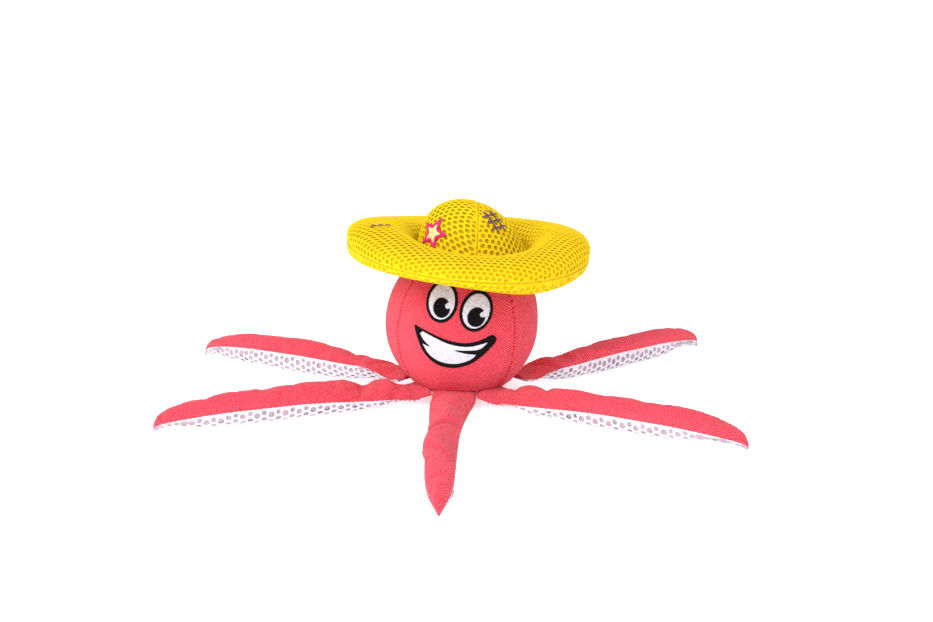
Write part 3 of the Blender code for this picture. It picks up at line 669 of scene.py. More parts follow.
# Rows of stitches across a region, each row cut into lengths that don't line up.
def fillStitches(outlines, direction, spacing, length):
    turn = Matrix.Rotation(-math.radians(direction), 2)
    back = Matrix.Rotation(math.radians(direction), 2)
    turned = [[turn @ point for point in outline] for outline in outlines]
    heights = [point.y for outline in turned for point in outline]
    stitches, number, height = [], 0, min(heights) + spacing / 2
    while height < max(heights):
        found = crossings(turned, height)
        for start, stop in zip(found[::2], found[1::2]):
            if stop - start < 0.25:
                continue
            cuts = [start]
            if stop - start > 1.5 * length:
                cut = start + length * (0.35 + 0.65 * ((number * 0.38) % 1.0))
                while cut < stop - 0.35 * length:
                    cuts.append(cut)
                    cut += length
            cuts.append(stop)
            for first, second in zip(cuts, cuts[1:]):
                wander = 0.1 * spacing * math.sin(number * 2.7 + first)
                ends = Vector((first, height + wander)), Vector((second, height - wander))
                stitches.append([back @ end for end in ends])
        height += spacing
        number += 1
    return stitches


# Stitches from one outline to the other, side by side.
def satinStitches(outer, inner, spacing):
    count = round(sum((a - b).length for a, b in zip(outer, outer[1:] + outer[:1])) / spacing)
    stitches = []
    for number in range(count):
        place = number / count * len(outer)
        index, share = int(place), place % 1
        ends = [ring[index].lerp(ring[(index + 1) % len(ring)], share) for ring in (outer, inner)]
        slack = (ends[1] - ends[0]) * 0.04 * math.sin(number * 2.4)
        stitches.append((ends[0] - slack, ends[1] + slack))
    return stitches


# Stitches on a surface: each arches up from its ends.
def layStitches(stitches, onto, base, crown):
    runs = []
    for start, stop in stitches:
        run = []
        for share, arch in ((0.0, 0.0), (0.12, 0.75), (0.5, 1.0), (0.88, 0.75), (1.0, 0.0)):
            place = start.lerp(stop, share)
            run.append(onto(place.x, place.y, (base + (crown - base) * arch) * mm))
        runs.append(run)
    return runs


# The thick ground under a patch of stitches.
def makePad(name, outlines, onto, lift, material, spacing=1.3, thickness=0.35):
    rings = [resample(outline, 0.7) for outline in outlines]
    points, edges = [], []
    for ring in rings:
        start = len(points)
        points += ring
        edges += [(start + step, start + (step + 1) % len(ring)) for step in range(len(ring))]
    xs, ys = [point.x for point in points], [point.y for point in points]
    border = list(points)
    across = min(xs)
    while across < max(xs):
        climb = min(ys)
        while climb < max(ys):
            point = Vector((across, climb))
            if isInside(rings, point) and min((point - other).length for other in border) > spacing * 0.5:
                points.append(point)
            climb += spacing
        across += spacing
    flat, triangles, _ = triangulate(points, lambda middle: isInside(rings, middle), edges)
    placed = [onto(point.x, point.y, lift * mm) for point in flat]
    pad = makeObject(name, makeMesh(name, placed, triangles), material)
    return thicken(pad, thickness * mm)


def makeEmbroidery(name, outlines, stitches, onto, material, base=0.1, crown=0.42, radius=0.2):
    pad = makePad(f"{name}_pad", outlines, onto, base + 0.12, material)
    threads = makeThreads(f"{name}_threads", layStitches(stitches, onto, base, crown), radius, material)
    return joinPieces(name, [pad, threads])


face = {
    "tilt": -8.0, "eyeSpacing": 18.8, "eyeHeight": 17.8, "leftRise": 2.2, "rightRise": 0.4,
    "eyeHalf": (8.5, 10.3), "eyeBorder": 1.5, "eyeLean": 3.0,
    "pupilHalf": (4.5, 4.9), "pupilShift": (0.5, -2.8), "glintRadius": 1.7, "glintShift": (3.2, 1.7),
    "whiteSpacing": 0.34, "whiteLength": 3.2, "blackSpacing": 0.33, "pupilSpacing": 0.32,
}
mouthOutside = (
    (-22.2, 5.0), (-14.5, 3.4), (-6.0, 1.6), (2.0, 0.8), (9.0, 1.5), (15.0, 3.9), (18.6, 6.2), (20.8, 6.4),
    (22.2, 4.6), (21.0, 1.6), (17.5, -3.4), (12.5, -8.8), (6.5, -12.6), (0.0, -14.4), (-6.5, -14.0),
    (-12.2, -11.2), (-16.8, -6.4), (-19.8, -1.0), (-21.4, 2.2)
)
mouthTeeth = (
    (-17.2, 3.0), (-10.5, 1.3), (-3.0, -0.5), (4.0, -1.0), (10.5, -0.2), (17.9, 2.7), (14.4, -1.5),
    (7.5, -3.0), (1.0, -3.6), (6.4, -4.6), (12.7, -4.8), (10.4, -7.9), (4.4, -11.0), (-2.0, -12.0),
    (-7.7, -11.2), (-12.6, -8.4), (-16.2, -3.8), (-11.8, -4.4), (-16.0, -1.6), (-18.4, 1.4)
)
front = along(head["faceHeading"])
faceFrame = Matrix(((-front.y, 0, front.x), (front.x, 0, front.y), (0, 1, 0))).to_4x4()
faceFrame = Matrix.Translation((0, 0, head["middleHeight"] * mm)) @ faceFrame
faceFrame = faceFrame @ Matrix.Rotation(math.radians(face["tilt"]), 4, "Z")


# A flat point of the face, in millimetres, pushed back onto the head's cloth.
def ontoHead(across, climb, lift):
    start = faceFrame @ Vector((across * mm, climb * mm, 0.08))
    place, normal, _, _ = headTree.ray_cast(start, -front)
    return place + normal * lift


def ellipse(centre, halfWidth, halfTall, lean=0.0, count=72):
    turn = Matrix.Rotation(math.radians(lean), 2)
    angles = [2 * math.pi * step / count for step in range(count)]
    return [centre + turn @ Vector((halfWidth * math.cos(a), halfTall * math.sin(a))) for a in angles]


# An ellipse with a round bite out of its edge, for the glint.
def pupilOutline(centre):
    glint = centre + Vector(face["glintShift"])
    points = []
    for point in ellipse(centre, *face["pupilHalf"]):
        offset = point - glint
        if offset.length < face["glintRadius"]:
            inward = centre - glint
            side = offset - offset.project(inward)
            reach = math.sqrt(face["glintRadius"] ** 2 - min(side.length, face["glintRadius"]) ** 2)
            point = glint + side + inward.normalized() * reach
        points.append(point)
    return points


def makeFace():
    pieces = {}

    def sew(node, name, outlines, stitches, thread, base, crown):
        pieces[node] = makeEmbroidery(name, outlines, stitches, ontoHead, thread, base, crown)

    def fillWhite(outline, direction):
        return fillStitches([outline], direction, face["whiteSpacing"], face["whiteLength"])

    halfWide, halfTall = face["eyeHalf"]
    for side, name, rise in ((-1, "left", face["leftRise"]), (1, "right", face["rightRise"])):
        centre = Vector((side * face["eyeSpacing"] / 2, face["eyeHeight"] + rise))
        outer, inner = [
            ellipse(centre, halfWide - inset, halfTall - inset, -face["eyeLean"])
            for inset in (0.0, face["eyeBorder"])
        ]
        border = satinStitches(outer, inner, face["blackSpacing"])
        sew(f"{name}_eye_outline", f"{name}_eye_border", [outer, inner], border, blackThread, 0.1, 0.5)
        ground = fillWhite(inner, 8.0 * side + 90)
        sew(f"{name}_eye_white", f"{name}_eye_ground", [inner], ground, whiteThread, 0.1, 0.36)
        pupil = pupilOutline(centre + Vector(face["pupilShift"]))
        rows = fillStitches([pupil], 30.0, face["pupilSpacing"], 2.6)
        sew(f"{name}_eye_pupil", f"{name}_eye_pupil_stitched", [pupil], rows, blackThread, 0.4, 0.85)
    outside = rounded([Vector(point) for point in mouthOutside])
    teeth = rounded([Vector(point) for point in mouthTeeth])
    border = fillStitches([outside, teeth], 62.0, face["blackSpacing"], 2.8)
    sew("mouth_outline", "mouth_border", [outside, teeth], border, blackThread, 0.1, 0.52)
    sew("mouth_teeth", "mouth_ground", [teeth], fillWhite(teeth, 100.0), whiteThread, 0.1, 0.36)
    return pieces


facePieces = makeFace()
print("face embroidered")


arm = {
    "hingeRadius": 34.0, "length": 141.0, "rootReach": 3.0, "startReach": 8.0,
    "halfWidth": 12.4, "narrowing": 0.34, "rootHalfThick": 2.3, "halfThick": 5.5, "swelling": 0.65,
    "tipPower": 7, "tipRounding": 0.38, "planRounding": 0.6, "softness": 0.3,
    "restGap": 0.3, "rootRise": 1.0, "backRootRise": 3.0, "seamRise": 3.0,
    "rows": 130, "columns": 40, "netInset": 0.9,
    "holePitch": 7.3, "rowPitch": 2.1, "holeSize": 0.68, "netThick": 0.5, "netEnd": 0.992, "edgeStep": 1.7,
}
# for each arm: the heading of its root, the heading it points to, roll, sideways bow and folds;
# for each fold: its place as a share of the length, depth, width and slant
armLayout = {
    "front": (263.0, 267.8, 0.0, -2.0, (
        (0.1, 2.4, 0.02, 0.35), (0.16, -1.0, 0.03, -0.5), (0.22, 2.0, 0.018, -0.9),
        (0.5, 1.4, 0.03, 1.2), (0.72, 1.2, 0.03, -1.0),
    )),
    "front_right": (306.0, 331.9, 0.0, -2.5, (
        (0.1, 1.8, 0.022, 0.5), (0.17, -0.8, 0.03, 0.4), (0.24, 1.1, 0.02, 0.6),
    )),
    "back_right": (8.0, 34.0, -14.0, -2.5, (
        (0.1, 2.0, 0.02, 0.5), (0.15, -1.0, 0.02, 0.5), (0.2, 1.9, 0.02, 0.5),
    )),
    "back": (91.0, 91.0, 0.0, 3.0, ((0.1, 1.4, 0.02, -0.4), (0.2, 1.0, 0.02, 0.4))),
    "back_left": (172.0, 154.6, 22.0, 1.5, (
        (0.1, 1.2, 0.022, -0.4), (0.2, -1.2, 0.03, -0.3), (0.3, -0.8, 0.04, 0.2),
    )),
    "front_left": (218.0, 199.1, 0.0, 2.5, (
        (0.12, -1.6, 0.03, -0.2), (0.225, 3.6, 0.035, -0.3), (0.3, -0.8, 0.03, -0.3),
    )),
}
armExtra = {"front": 3.0, "front_left": 4.0, "front_right": 3.5}  # more cloth in the three front arms


# Half the width and half the thickness, as if the arm had no ends.
def armBody(share):
    middle = smooth((share + 0.03) / 0.55) * (1 - 0.25 * smooth((share - 0.7) / 0.3))
    width = arm["halfWidth"] * (1 - arm["narrowing"] * middle)
    swell = arm["rootHalfThick"] + (arm["halfThick"] - arm["rootHalfThick"]) * smooth((share + 0.035) / 0.2)
    return width, swell * (1 + arm["swelling"] * middle)


# The arm's own half width and half thickness, with its round tip.
def armSize(share):
    left = max(0.0, 1 - max(share, 0.0) ** arm["tipPower"])
    width, thick = armBody(share)
    return width * left ** arm["planRounding"], thick * left ** arm["tipRounding"]


# The cloth's length from a seam to the middle of the underside.
def quarterGirth(share):
    width, thick = armSize(share)
    return math.pi / 2 * math.sqrt((width * width + thick * thick) / 2)


# A point round an arm's section: angle 0 and 180 degrees are its two seams, 90 its coral top.
def armPoint(side, share, angle):
    root, heading, roll, bow, folds = armLayout[side]
    width, thick = armSize(share)
    turn = math.radians(roll) * smooth(share / 0.2)
    halfTall = math.hypot(width * math.sin(turn), thick * math.cos(turn))
    rootRise = arm["backRootRise"] if side.startswith("back") else arm["rootRise"]
    rise = rootRise * (1 - smooth(share / 0.25)) + arm["seamRise"] * (1 - smooth((share + 0.035) / 0.09))
    height = arm["restGap"] + halfTall + rise
    across = math.cos(angle) * width
    up = abs(math.sin(angle)) ** 0.85 * math.copysign(thick, math.sin(angle))
    for place, depth, wide, slant in folds:
        offset = share - place + slant * across / arm["length"]
        crease = 0.55 + 0.45 * math.cos(angle * 2) ** 2
        up -= depth * bump(offset, wide) * max(0.0, math.sin(angle)) * crease
    reach = share * (arm["length"] + armExtra.get(side, 0.0)) - arm["rootReach"]
    spot = Vector((reach * 0.021, across * 0.05, angle * 0.3 + heading))
    up += arm["softness"] * noise.noise(spot) * smooth(share * 6) * abs(math.sin(angle))
    y = bow * math.sin(math.pi * max(share, 0.0)) + across * math.cos(turn) - up * math.sin(turn)
    z = height + across * math.sin(turn) + up * math.cos(turn)
    place = Matrix.Rotation(math.radians(heading), 3, "Z") @ Vector((reach, y, max(z, 0.25)))
    return (place + along(root, arm["hingeRadius"])) * mm


def armShares():
    root = (arm["rootReach"] - arm["startReach"]) / arm["length"]
    steps = arm["rows"] - 1
    return [root + (0.9995 - root) * (1 - (1 - step / steps) ** 1.5) for step in range(steps + 1)]


def makeArm(side):
    shares, columns = armShares(), arm["columns"]
    angles = [2 * math.pi * column / columns for column in range(columns)]
    rows = [[armPoint(side, share, angle) for angle in angles] for share in shares]
    half = columns // 2

    def pinned(row, column):
        atSeam = min(column % half, half - column % half) == 0
        return 1.0 if atSeam or shares[row] < 0.03 or shares[row] > 0.985 else 0.0

    rows = inflate(rows, pinned)
    for row in rows:
        for point in row:
            point.z = max(point.z, 0.25 * mm)
    shell = ClothGrid(rows)
    skinRows = []
    for number, row in enumerate(rows):
        line = []
        fade = smooth((1 - shares[number]) * 30)
        for column, point in enumerate(row):
            angle = angles[column]
            sink = 0.45 * bump(math.sin(angle), 0.12)
            if column > half:
                sink += arm["netInset"] * smooth(abs(math.sin(angle)) * 4)
            line.append(point - shell.normals[number][column] * sink * mm * fade)
        skinRows.append(line)
    faces = [face[::-1] for face in gridFaces(len(rows), columns)]
    faces += [tuple(range(columns)), tuple(range((len(rows) - 1) * columns, len(rows) * columns))[::-1]]
    name = f"{side}_arm_skin"
    mesh = makeMesh(name, [point for row in skinRows for point in row], faces)
    layer = mesh.uv_layers.new(name="cloth")
    for number, piece in enumerate(mesh.polygons):
        if number >= len(faces) - 2:
            continue
        row, column = divmod(number, columns)
        # the underside, under the white mesh, takes the painted hole shadow
        piece.material_index = 1 if column >= half else 0
        for loop in piece.loop_indices:
            vertex = mesh.loops[loop].vertex_index
            place, turn = divmod(vertex, columns)
            if column == columns - 1 and turn == 0:
                turn = columns
            around = (4 * turn / columns - 1) * quarterGirth(shares[place])
            layer.data[loop].uv = (shares[place] * arm["length"] * mm, around * mm)
    skin = makeObject(name, mesh, coralCanvas, holeShadowCore)
    roundOff(skin)
    return bakeModifiers(skin), shell, shares


# Holes longer along the arm than across, over the underside from seam to seam.
def makeArmNet(side, shell, shares):
    def girthAt(x):
        return quarterGirth(x / arm["length"])

    points, holes = [], []
    stop = arm["netEnd"] * arm["length"]
    x = 0.0
    while x < stop:
        points += [Vector((x, sign * girthAt(x))) for sign in (-1, 1)]
        x += arm["edgeStep"]
    for end in (0.0, stop):
        reach = girthAt(end)
        steps = max(2, int(2 * reach / arm["edgeStep"]))
        points += [Vector((end, reach * (2 * step / steps - 1))) for step in range(1, steps)]
    holes += [0] * len(points)
    number = 0
    widest = 1.4 * 14.0  # past the arm's fullest quarter girth on both sides
    y = -widest
    while y < widest:
        x = 1.6 + (arm["holePitch"] / 2 if number % 2 else 0.0)
        while x < stop - 1.4:
            room = girthAt(x) - abs(y)
            if room > 0.7:
                points.append(Vector((x, y)))
                holes.append(1 if room > 1.05 else 0)
            x += arm["holePitch"]
        y += arm["rowPitch"]
        number += 1
    flat, triangles, origins = triangulate(points, lambda middle: abs(middle.y) < girthAt(middle.x))
    placed = []
    low = 0
    for point in flat:
        share = point.x / arm["length"]
        while low < len(shares) - 2 and shares[low + 1] < share:
            low += 1
        while low > 0 and shares[low] > share:
            low -= 1
        row = low + (share - shares[low]) / (shares[low + 1] - shares[low])
        turn = math.pi * 1.5 + math.pi / 2 * max(-1.0, min(1.0, point.y / quarterGirth(share)))
        edge = smooth(abs(math.sin(turn)) * 3)
        place = shell.at(row, turn / (2 * math.pi) * arm["columns"], (0.15 * edge - 0.1) * mm)
        place.z = max(place.z, 0.1 * mm)
        placed.append(place)
    marks = [max((holes[origin] for origin in source), default=0) for source in origins]
    faces = [face[::-1] for face in triangles]
    name = f"{side}_arm_net"
    return makeNet(name, placed, marks, faces, arm["holeSize"], 0.1, arm["netThick"], whiteNet)


def makeArmSeams(side, shell, shares):
    pieces = []
    for edge in (0, arm["columns"] // 2):
        path = [shell.at(row, edge, -0.2 * mm) for row in range(len(shares)) if 0.02 < shares[row] < 0.975]
        pieces.append(makeSeam(f"{side}_seam_{edge}", path, coralThread, 2.6, 1.9, 0.15))
    return joinPieces(f"{side}_arm_seam_thread", pieces)


armPieces = {}
for side in armLayout:
    skin, shell, shares = makeArm(side)
    net = makeArmNet(side, shell, shares)
    armPieces[side] = (skin, net, makeArmSeams(side, shell, shares))
    print(side, "arm made:", len(skin.data.polygons), "and", len(net.data.polygons), "faces")


hat = {
    "roll": 4.5, "pitch": 1.5, "pivotHeight": 46.105,
    "brimRadius": 68.2, "innerRadius": 31.0, "seamHeight": 81.6, "valleyHeight": 82.0,
    "upperHalf": 7.4, "lowerHalf": 8.2, "seamPinch": 1.3, "bluntness": 0.6,
    "waves": ((2.6, 182.0, 8), (2.8, 0.0, 8), (-3.2, 128.0, 6), (1.0, 250.0, 4)),  # rise, heading, power
    "upperSwells": ((4.0, 178.0, 3), (5.0, 2.0, 3)),
    "lowerSwells": ((3.0, 187.0, 10), (3.4, 303.0, 16), (-3.2, 258.0, 4)),
    "crownRadius": 29.5, "crownBase": 81.0, "crownHeight": 29.0, "sideShift": 3.5, "topShift": -3.0,
    "crownSeamFoot": 0.068, "crownSeamLean": 0.186, "crownSeamDepth": 0.7, "crownFlare": 0.06,
    "socketRadius": 42.0, "socketRim": 24.5, "socketRings": (27.0, 25.0, 22.0, 17.0, 11.0, 5.0),
    "holePitch": 3.6, "holeSize": 0.6, "rimDrop": 0.28, "netThick": 0.6, "coreInset": 1.0,
}
hatFrame = Matrix.Translation((0, 0, hat["pivotHeight"] * mm))
hatFrame = hatFrame @ Matrix.Rotation(math.radians(hat["roll"]), 4, "Y")
hatFrame = hatFrame @ Matrix.Rotation(math.radians(hat["pitch"]), 4, "X")
brimMiddle = (hat["brimRadius"] + hat["innerRadius"]) / 2
brimHalf = (hat["brimRadius"] - hat["innerRadius"]) / 2


# Adds up swellings round the brim, each at its own heading and narrower for a higher power.
def swellAt(heading, swells):
    return sum(
        rise * ((1 + math.cos(math.radians(heading - middle))) / 2) ** power
        for rise, middle, power in swells
    )


# The stuffing is fuller at the two sides, and the front's underside is flatter.
def brimHalfTall(heading, upper):
    if upper:
        return hat["upperHalf"] + swellAt(heading, hat["upperSwells"])
    return hat["lowerHalf"] + swellAt(heading, hat["lowerSwells"])


# A point of the brim: angle 0 is its outer seam, 90 its top, 180 the valley round the crown.
def brimPoint(heading, angle, inset=0.0):
    turn = math.radians(angle)
    half = brimHalfTall(heading, math.sin(turn) > 0)
    pinch = hat["seamPinch"] * bump(math.sin(turn), 0.12) * (1 if math.cos(turn) > 0 else 0)
    seam = hat["seamHeight"] + (hat["valleyHeight"] - hat["seamHeight"]) * (1 - math.cos(turn)) / 2
    radius = brimMiddle + (brimHalf - inset) * math.cos(turn) - pinch
    blunt = 1 + (hat["bluntness"] - 1) * smooth(0.3 + 0.9 * math.cos(turn))
    tall = math.copysign(abs(math.sin(turn)) ** blunt, math.sin(turn))
    wave = swellAt(heading, hat["waves"]) * smooth((radius - hat["innerRadius"]) / 14)
    height = seam + (half - inset) * tall + wave
    side = hat["sideShift"] * (hat["brimRadius"] - radius) / (hat["brimRadius"] - hat["innerRadius"])
    side += 0.7 * smooth((radius - hat["innerRadius"]) / 30)
    place = along(heading, radius, height - hat["pivotHeight"]) + Vector((side, 0, 0))
    return hatFrame @ (place * mm)


# Arc length along half of the brim's section, from the valley out to the seam.
def sectionTable(first, last, steps=60):
    table, length, before = [], 0.0, None
    for step in range(steps + 1):
        angle = first + (last - first) * step / steps
        here = brimPoint(0.0, angle)
        if before is not None:
            length += (here - before).length / mm
        table.append((length, angle))
        before = here
    return table


def lookUp(table, length):
    for (near, start), (far, stop) in zip(table, table[1:]):
        if length <= far:
            return start + (stop - start) * max(0.0, length - near) / (far - near)
    return table[-1][1]


# Rows of hole middles in the flat cloth.
def hexPoints(halfSize, pitch, keep, slant=0.0):
    points = []
    rows = int(halfSize / (pitch * 0.866)) + 2
    columns = int(halfSize / pitch) + 2
    turn = Matrix.Rotation(math.radians(slant), 2)
    for row in range(-rows, rows + 1):
        for column in range(-columns, columns + 1):
            point = turn @ Vector(((column + 0.5 * (row % 2)) * pitch, row * pitch * 0.866))
            if keep(point):
                points.append(point)
    return points


def makeHatNet(name, points, holes, triangles):
    sizes = hat["holeSize"], hat["rimDrop"], hat["netThick"]
    return makeNet(name, points, holes, triangles, *sizes, yellowNet)


# The flat ring that the brim's upper or lower half was cut from, sewn over the stuffing.
def makeBrimNet(name, first, last, upwards, slant):
    table = sectionTable(first, last)
    shrinkage, edgeStep = 0.9, 1.9
    inner, outer = hat["innerRadius"], hat["innerRadius"] + shrinkage * table[-1][0]
    border = []
    for radius in (inner, outer):
        count = round(2 * math.pi * radius / edgeStep)
        border += [Vector(along(360 * step / count, radius)[:2]) for step in range(count)]

    def isOnRing(point):
        return inner + 1.3 < point.length < outer - 1.2

    inside = hexPoints(outer, hat["holePitch"], isOnRing, slant)
    holes = [0] * len(border) + [1 if inner + 1.9 < point.length < outer - 1.7 else 0 for point in inside]
    flat, triangles, origins = triangulate(border + inside, lambda middle: middle.length > inner * 0.999)
    placed = []
    for point in flat:
        length = min(max((point.length - inner) / shrinkage, 0.0), table[-1][0])
        heading = math.degrees(math.atan2(point.y, point.x))
        placed.append(brimPoint(heading, lookUp(table, length)))
    marks = [max((holes[origin] for origin in source), default=0) for source in origins]
    faces = triangles if upwards else [face[::-1] for face in triangles]
    return makeHatNet(name, placed, marks, faces)


def makeBrimCore():
    turns, steps = 120, 40
    rows = []
    for step in range(steps):
        angle = 360 * step / steps
        rows.append([brimPoint(360 * turn / turns, angle, hat["coreInset"]) for turn in range(turns)])
    faces = []
    for step in range(steps):
        for turn in range(turns):
            after, above = (turn + 1) % turns, (step + 1) % steps * turns
            start = step * turns
            faces.append((start + turn, start + after, above + after, above + turn))
    points = [point for row in rows for point in row]
    core = makeObject("hat_brim_core", makeMesh("hat_brim_core", points, faces), yellowCore)
    roundOff(core)
    return bakeModifiers(core)


def crownShift(height):
    share = max(0.0, height - hat["crownBase"]) / hat["crownHeight"]
    return hat["sideShift"] + (hat["topShift"] - hat["sideShift"]) * share


# How far to the right the seam between the crown's panels runs, at a height from 0 to 1.
def crownSeam(climb):
    return hat["crownSeamFoot"] + hat["crownSeamLean"] * climb


# The dome's point in a direction from its middle; the two panels meet in a sunken seam.
def crownPoint(direction, inset=0.0):
    away = direction.normalized()
    seamDistance = hat["crownRadius"] * (away.x - crownSeam(away.z))
    dip = hat["crownSeamDepth"] * bump(seamDistance, 1.1) - 0.25 * bump(abs(seamDistance) - 2.6, 1.6)
    size = hat["crownRadius"] - inset - dip
    height = hat["crownBase"] + away.z * (hat["crownHeight"] - inset - dip)
    flare = 1 + hat["crownFlare"] * smooth(1 - away.z * 3)
    across, deep = away.x * size * flare + crownShift(height), away.y * size * flare
    return hatFrame @ (Vector((across, deep, height - hat["pivotHeight"])) * mm)


# Half of the dome, flattened about the middle of its own panel.
def makeCrownNet(name, side, slant):
    middle = Vector((side * 0.8, 0, 0.6))
    right = Vector((0, 1, 0)) * side
    upwards = middle.cross(right)
    size = hat["crownRadius"]
    low = 0.03

    def flatten(away):
        bend = middle.angle(away)
        reach = 2 * size * math.sin(bend / 2)
        flat = Vector((away.dot(right), away.dot(upwards)))
        return flat.normalized() * reach if flat.length > 1e-9 else Vector((0, 0))

    def raiseUp(point):
        bend = 2 * math.asin(min(1.0, point.length / (2 * size)))
        if point.length < 1e-9:
            return middle.copy()
        around = right * (point.x / point.length) + upwards * (point.y / point.length)
        return middle * math.cos(bend) + around * math.sin(bend)

    def onPanel(away, margin):
        return side * (away.x - crownSeam(away.z)) > margin and away.z > low + margin

    border = []
    for step in range(49):
        turn = math.pi * step / 48
        climb = math.sin(turn) * (1 - low) + low
        away = Vector((crownSeam(climb), math.cos(turn), climb)).normalized()
        border.append(flatten(away))
    for step in range(1, 48):
        turn = math.pi / 2 - math.pi * step / 48
        away = Vector((side * math.cos(turn), -math.sin(turn), low)).normalized()
        if side * (away.x - crownSeam(low)) > 0.03:
            border.append(flatten(away))
    points = list(border)
    holes = [0] * len(points)
    for point in hexPoints(size * 1.5, hat["holePitch"], lambda place: place.length < size * 1.5, slant):
        away = raiseUp(point)
        if onPanel(away, 0.012):
            points.append(point)
            holes.append(1 if onPanel(away, 0.026) else 0)
    edges = [(step, (step + 1) % len(border)) for step in range(len(border))]
    flat, triangles, origins = triangulate(points, lambda place: isInside([border], place), edges)
    placed = [crownPoint(raiseUp(point)) for point in flat]
    marks = [max((holes[origin] for origin in source), default=0) for source in origins]
    return makeHatNet(name, placed, marks, triangles)


# The stuffed crown under its mesh, closed below by a hollow that sits on the head.
def makeCrownCore():
    turns, rows = 96, []
    headings = [360 * number / turns for number in range(turns)]
    for step in range(30):
        turn = math.pi / 2 * (1 - step / 29)
        away = [along(heading, math.cos(turn), math.sin(turn)) for heading in headings]
        rows.append([crownPoint(direction, hat["coreInset"]) for direction in away])
    rows = rows[1:]
    for radius in hat["socketRings"]:
        height = math.sqrt(hat["socketRadius"] ** 2 - min(radius, hat["socketRim"]) ** 2)
        rows.append([hatFrame @ (along(heading, radius, height) * mm) for heading in headings])
    total = len(rows) * turns
    faces = [face[::-1] for face in gridFaces(len(rows), turns)]
    faces += [tuple(range(turns)), tuple(range(total - turns, total))[::-1]]
    mesh = makeMesh("hat_crown_core", [point for row in rows for point in row], faces)
    return makeObject("hat_crown_core", mesh, crownStuffing)


brimUpper = makeBrimNet("hat_brim_upper_net", 180.0, 0.0, True, 4.0)
brimLower = makeBrimNet("hat_brim_lower_net", 180.0, 360.0, False, 12.0)
print("brim nets made:", len(brimUpper.data.polygons), len(brimLower.data.polygons))
brimCore = makeBrimCore()
crownLeft = makeCrownNet("hat_crown_left_net", -1, 20.0)
crownRight = makeCrownNet("hat_crown_right_net", 1, 8.0)
crownCore = makeCrownCore()
print("crown made:", len(crownLeft.data.polygons), len(crownRight.data.polygons))


def makeHatSeams():
    rim = []
    for step in range(121):
        place = brimPoint(3.0 * step, 0.0)
        rim.append(place + (place - hatFrame.translation).normalized() * 0.25 * mm)
    outer = makeSeam("rim_seam", rim, yellowThread, 3.2, 2.4, 0.3)
    ridge = []
    for step in range(61):
        turn = math.pi * (0.02 + 0.96 * step / 60)
        ridge.append(crownPoint(Vector((crownSeam(math.sin(turn)), math.cos(turn), math.sin(turn))), -0.1))
    middle = makeSeam("crown_seam", ridge, yellowThread, 3.2, 2.4, 0.3)
    return joinPieces("hat_seam_thread", [outer, middle])


hatSeams = makeHatSeams()


motif = {
    "flowerHeading": 222.0, "flowerHeight": 94.2,
    "flowerRadius": 9.4, "flowerInner": 4.5, "flowerBorder": 3.6,
    "latticeHeading": 319.0, "latticeHeight": 102.5, "latticePitch": 5.0, "latticeReach": 7.4,
    "dashHeading": 196.0, "dashRadii": (45.5, 49.5, 53.5), "dashLength": 2.8,
    "threadRadius": 0.22, "stitchLength": 3.0,
}


# A frame on the crown whose Z looks out of it and whose Y climbs it, in the hat's own frame.
def crownMount(heading, height):
    rise = (height - hat["crownBase"]) / hat["crownHeight"]
    spread = hat["crownRadius"] * math.sqrt(1 - rise ** 2)
    place = along(heading, spread, height - hat["pivotHeight"]) + Vector((crownShift(height), 0, 0))
    outwards = along(heading, spread / hat["crownRadius"] ** 2, rise / hat["crownHeight"]).normalized()
    across = Vector((0, 0, 1)).cross(outwards).normalized()
    turn = Matrix((across, outwards.cross(across), outwards)).transposed().to_4x4()
    return hatFrame @ Matrix.Translation(place * mm) @ turn


def surfaceTree(pointAt, rows, columns):
    points = [pointAt(row, column) for row in range(rows) for column in range(columns)]
    return BVHTree.FromPolygons(points, gridFaces(rows, columns))


def crownSample(row, column):
    turn = math.pi / 2 * (1 - row / 41)
    return crownPoint(along(360 * column / 96, math.cos(turn), math.sin(turn)))


crownTree = surfaceTree(crownSample, 41, 96)
brimTree = surfaceTree(lambda row, column: brimPoint(3.0 * column, 10.0 + 4.0 * row), 41, 120)


# Pushes flat points of a mount, in millimetres, back onto a surface of the hat.
def projector(mount, tree):
    look = mount.to_3x3() @ Vector((0, 0, 1))

    def onto(across, climb, lift):
        start = mount @ Vector((across * mm, climb * mm, 0.03))
        place, normal, _, _ = tree.ray_cast(start, -look)
        if place is None:
            place, normal, _, _ = tree.find_nearest(mount @ Vector((across * mm, climb * mm, 0)))
        return place + (normal if normal.dot(look) > 0 else -normal) * lift

    return onto


def starOutline(outer, inner, points=5, turn=8.0):
    corners = []
    for step in range(points * 2):
        angle = math.radians(turn + 180 * step / points)
        reach = inner if step % 2 else outer
        corners.append(Vector((math.sin(angle), math.cos(angle))) * reach)
    return resample(corners, 0.5)


def chopLine(start, stop, length):
    count = max(1, round((stop - start).length / length))
    cuts = [start.lerp(stop, step / count) for step in range(count + 1)]
    return list(zip(cuts, cuts[1:]))


# A pink star-shaped border round rays of cream thread.
def makeFlower():
    onto = projector(crownMount(motif["flowerHeading"], motif["flowerHeight"]), crownTree)
    outer = starOutline(motif["flowerRadius"], motif["flowerInner"])
    scale = 1 - motif["flowerBorder"] / motif["flowerRadius"]
    inner = [point * scale for point in outer]
    stitches = satinStitches(outer, [point * 0.97 for point in inner], 0.36)
    border = makeEmbroidery("flower_border", [outer, inner], stitches, onto, pinkThread, 0.3, 0.8)
    rays = [(point * 0.12, point * 0.98) for point in inner]
    centre = makeEmbroidery("flower_rays", [inner], rays, onto, creamThread, 0.25, 0.55)
    return {"flower_outline": border, "flower_centre": centre}


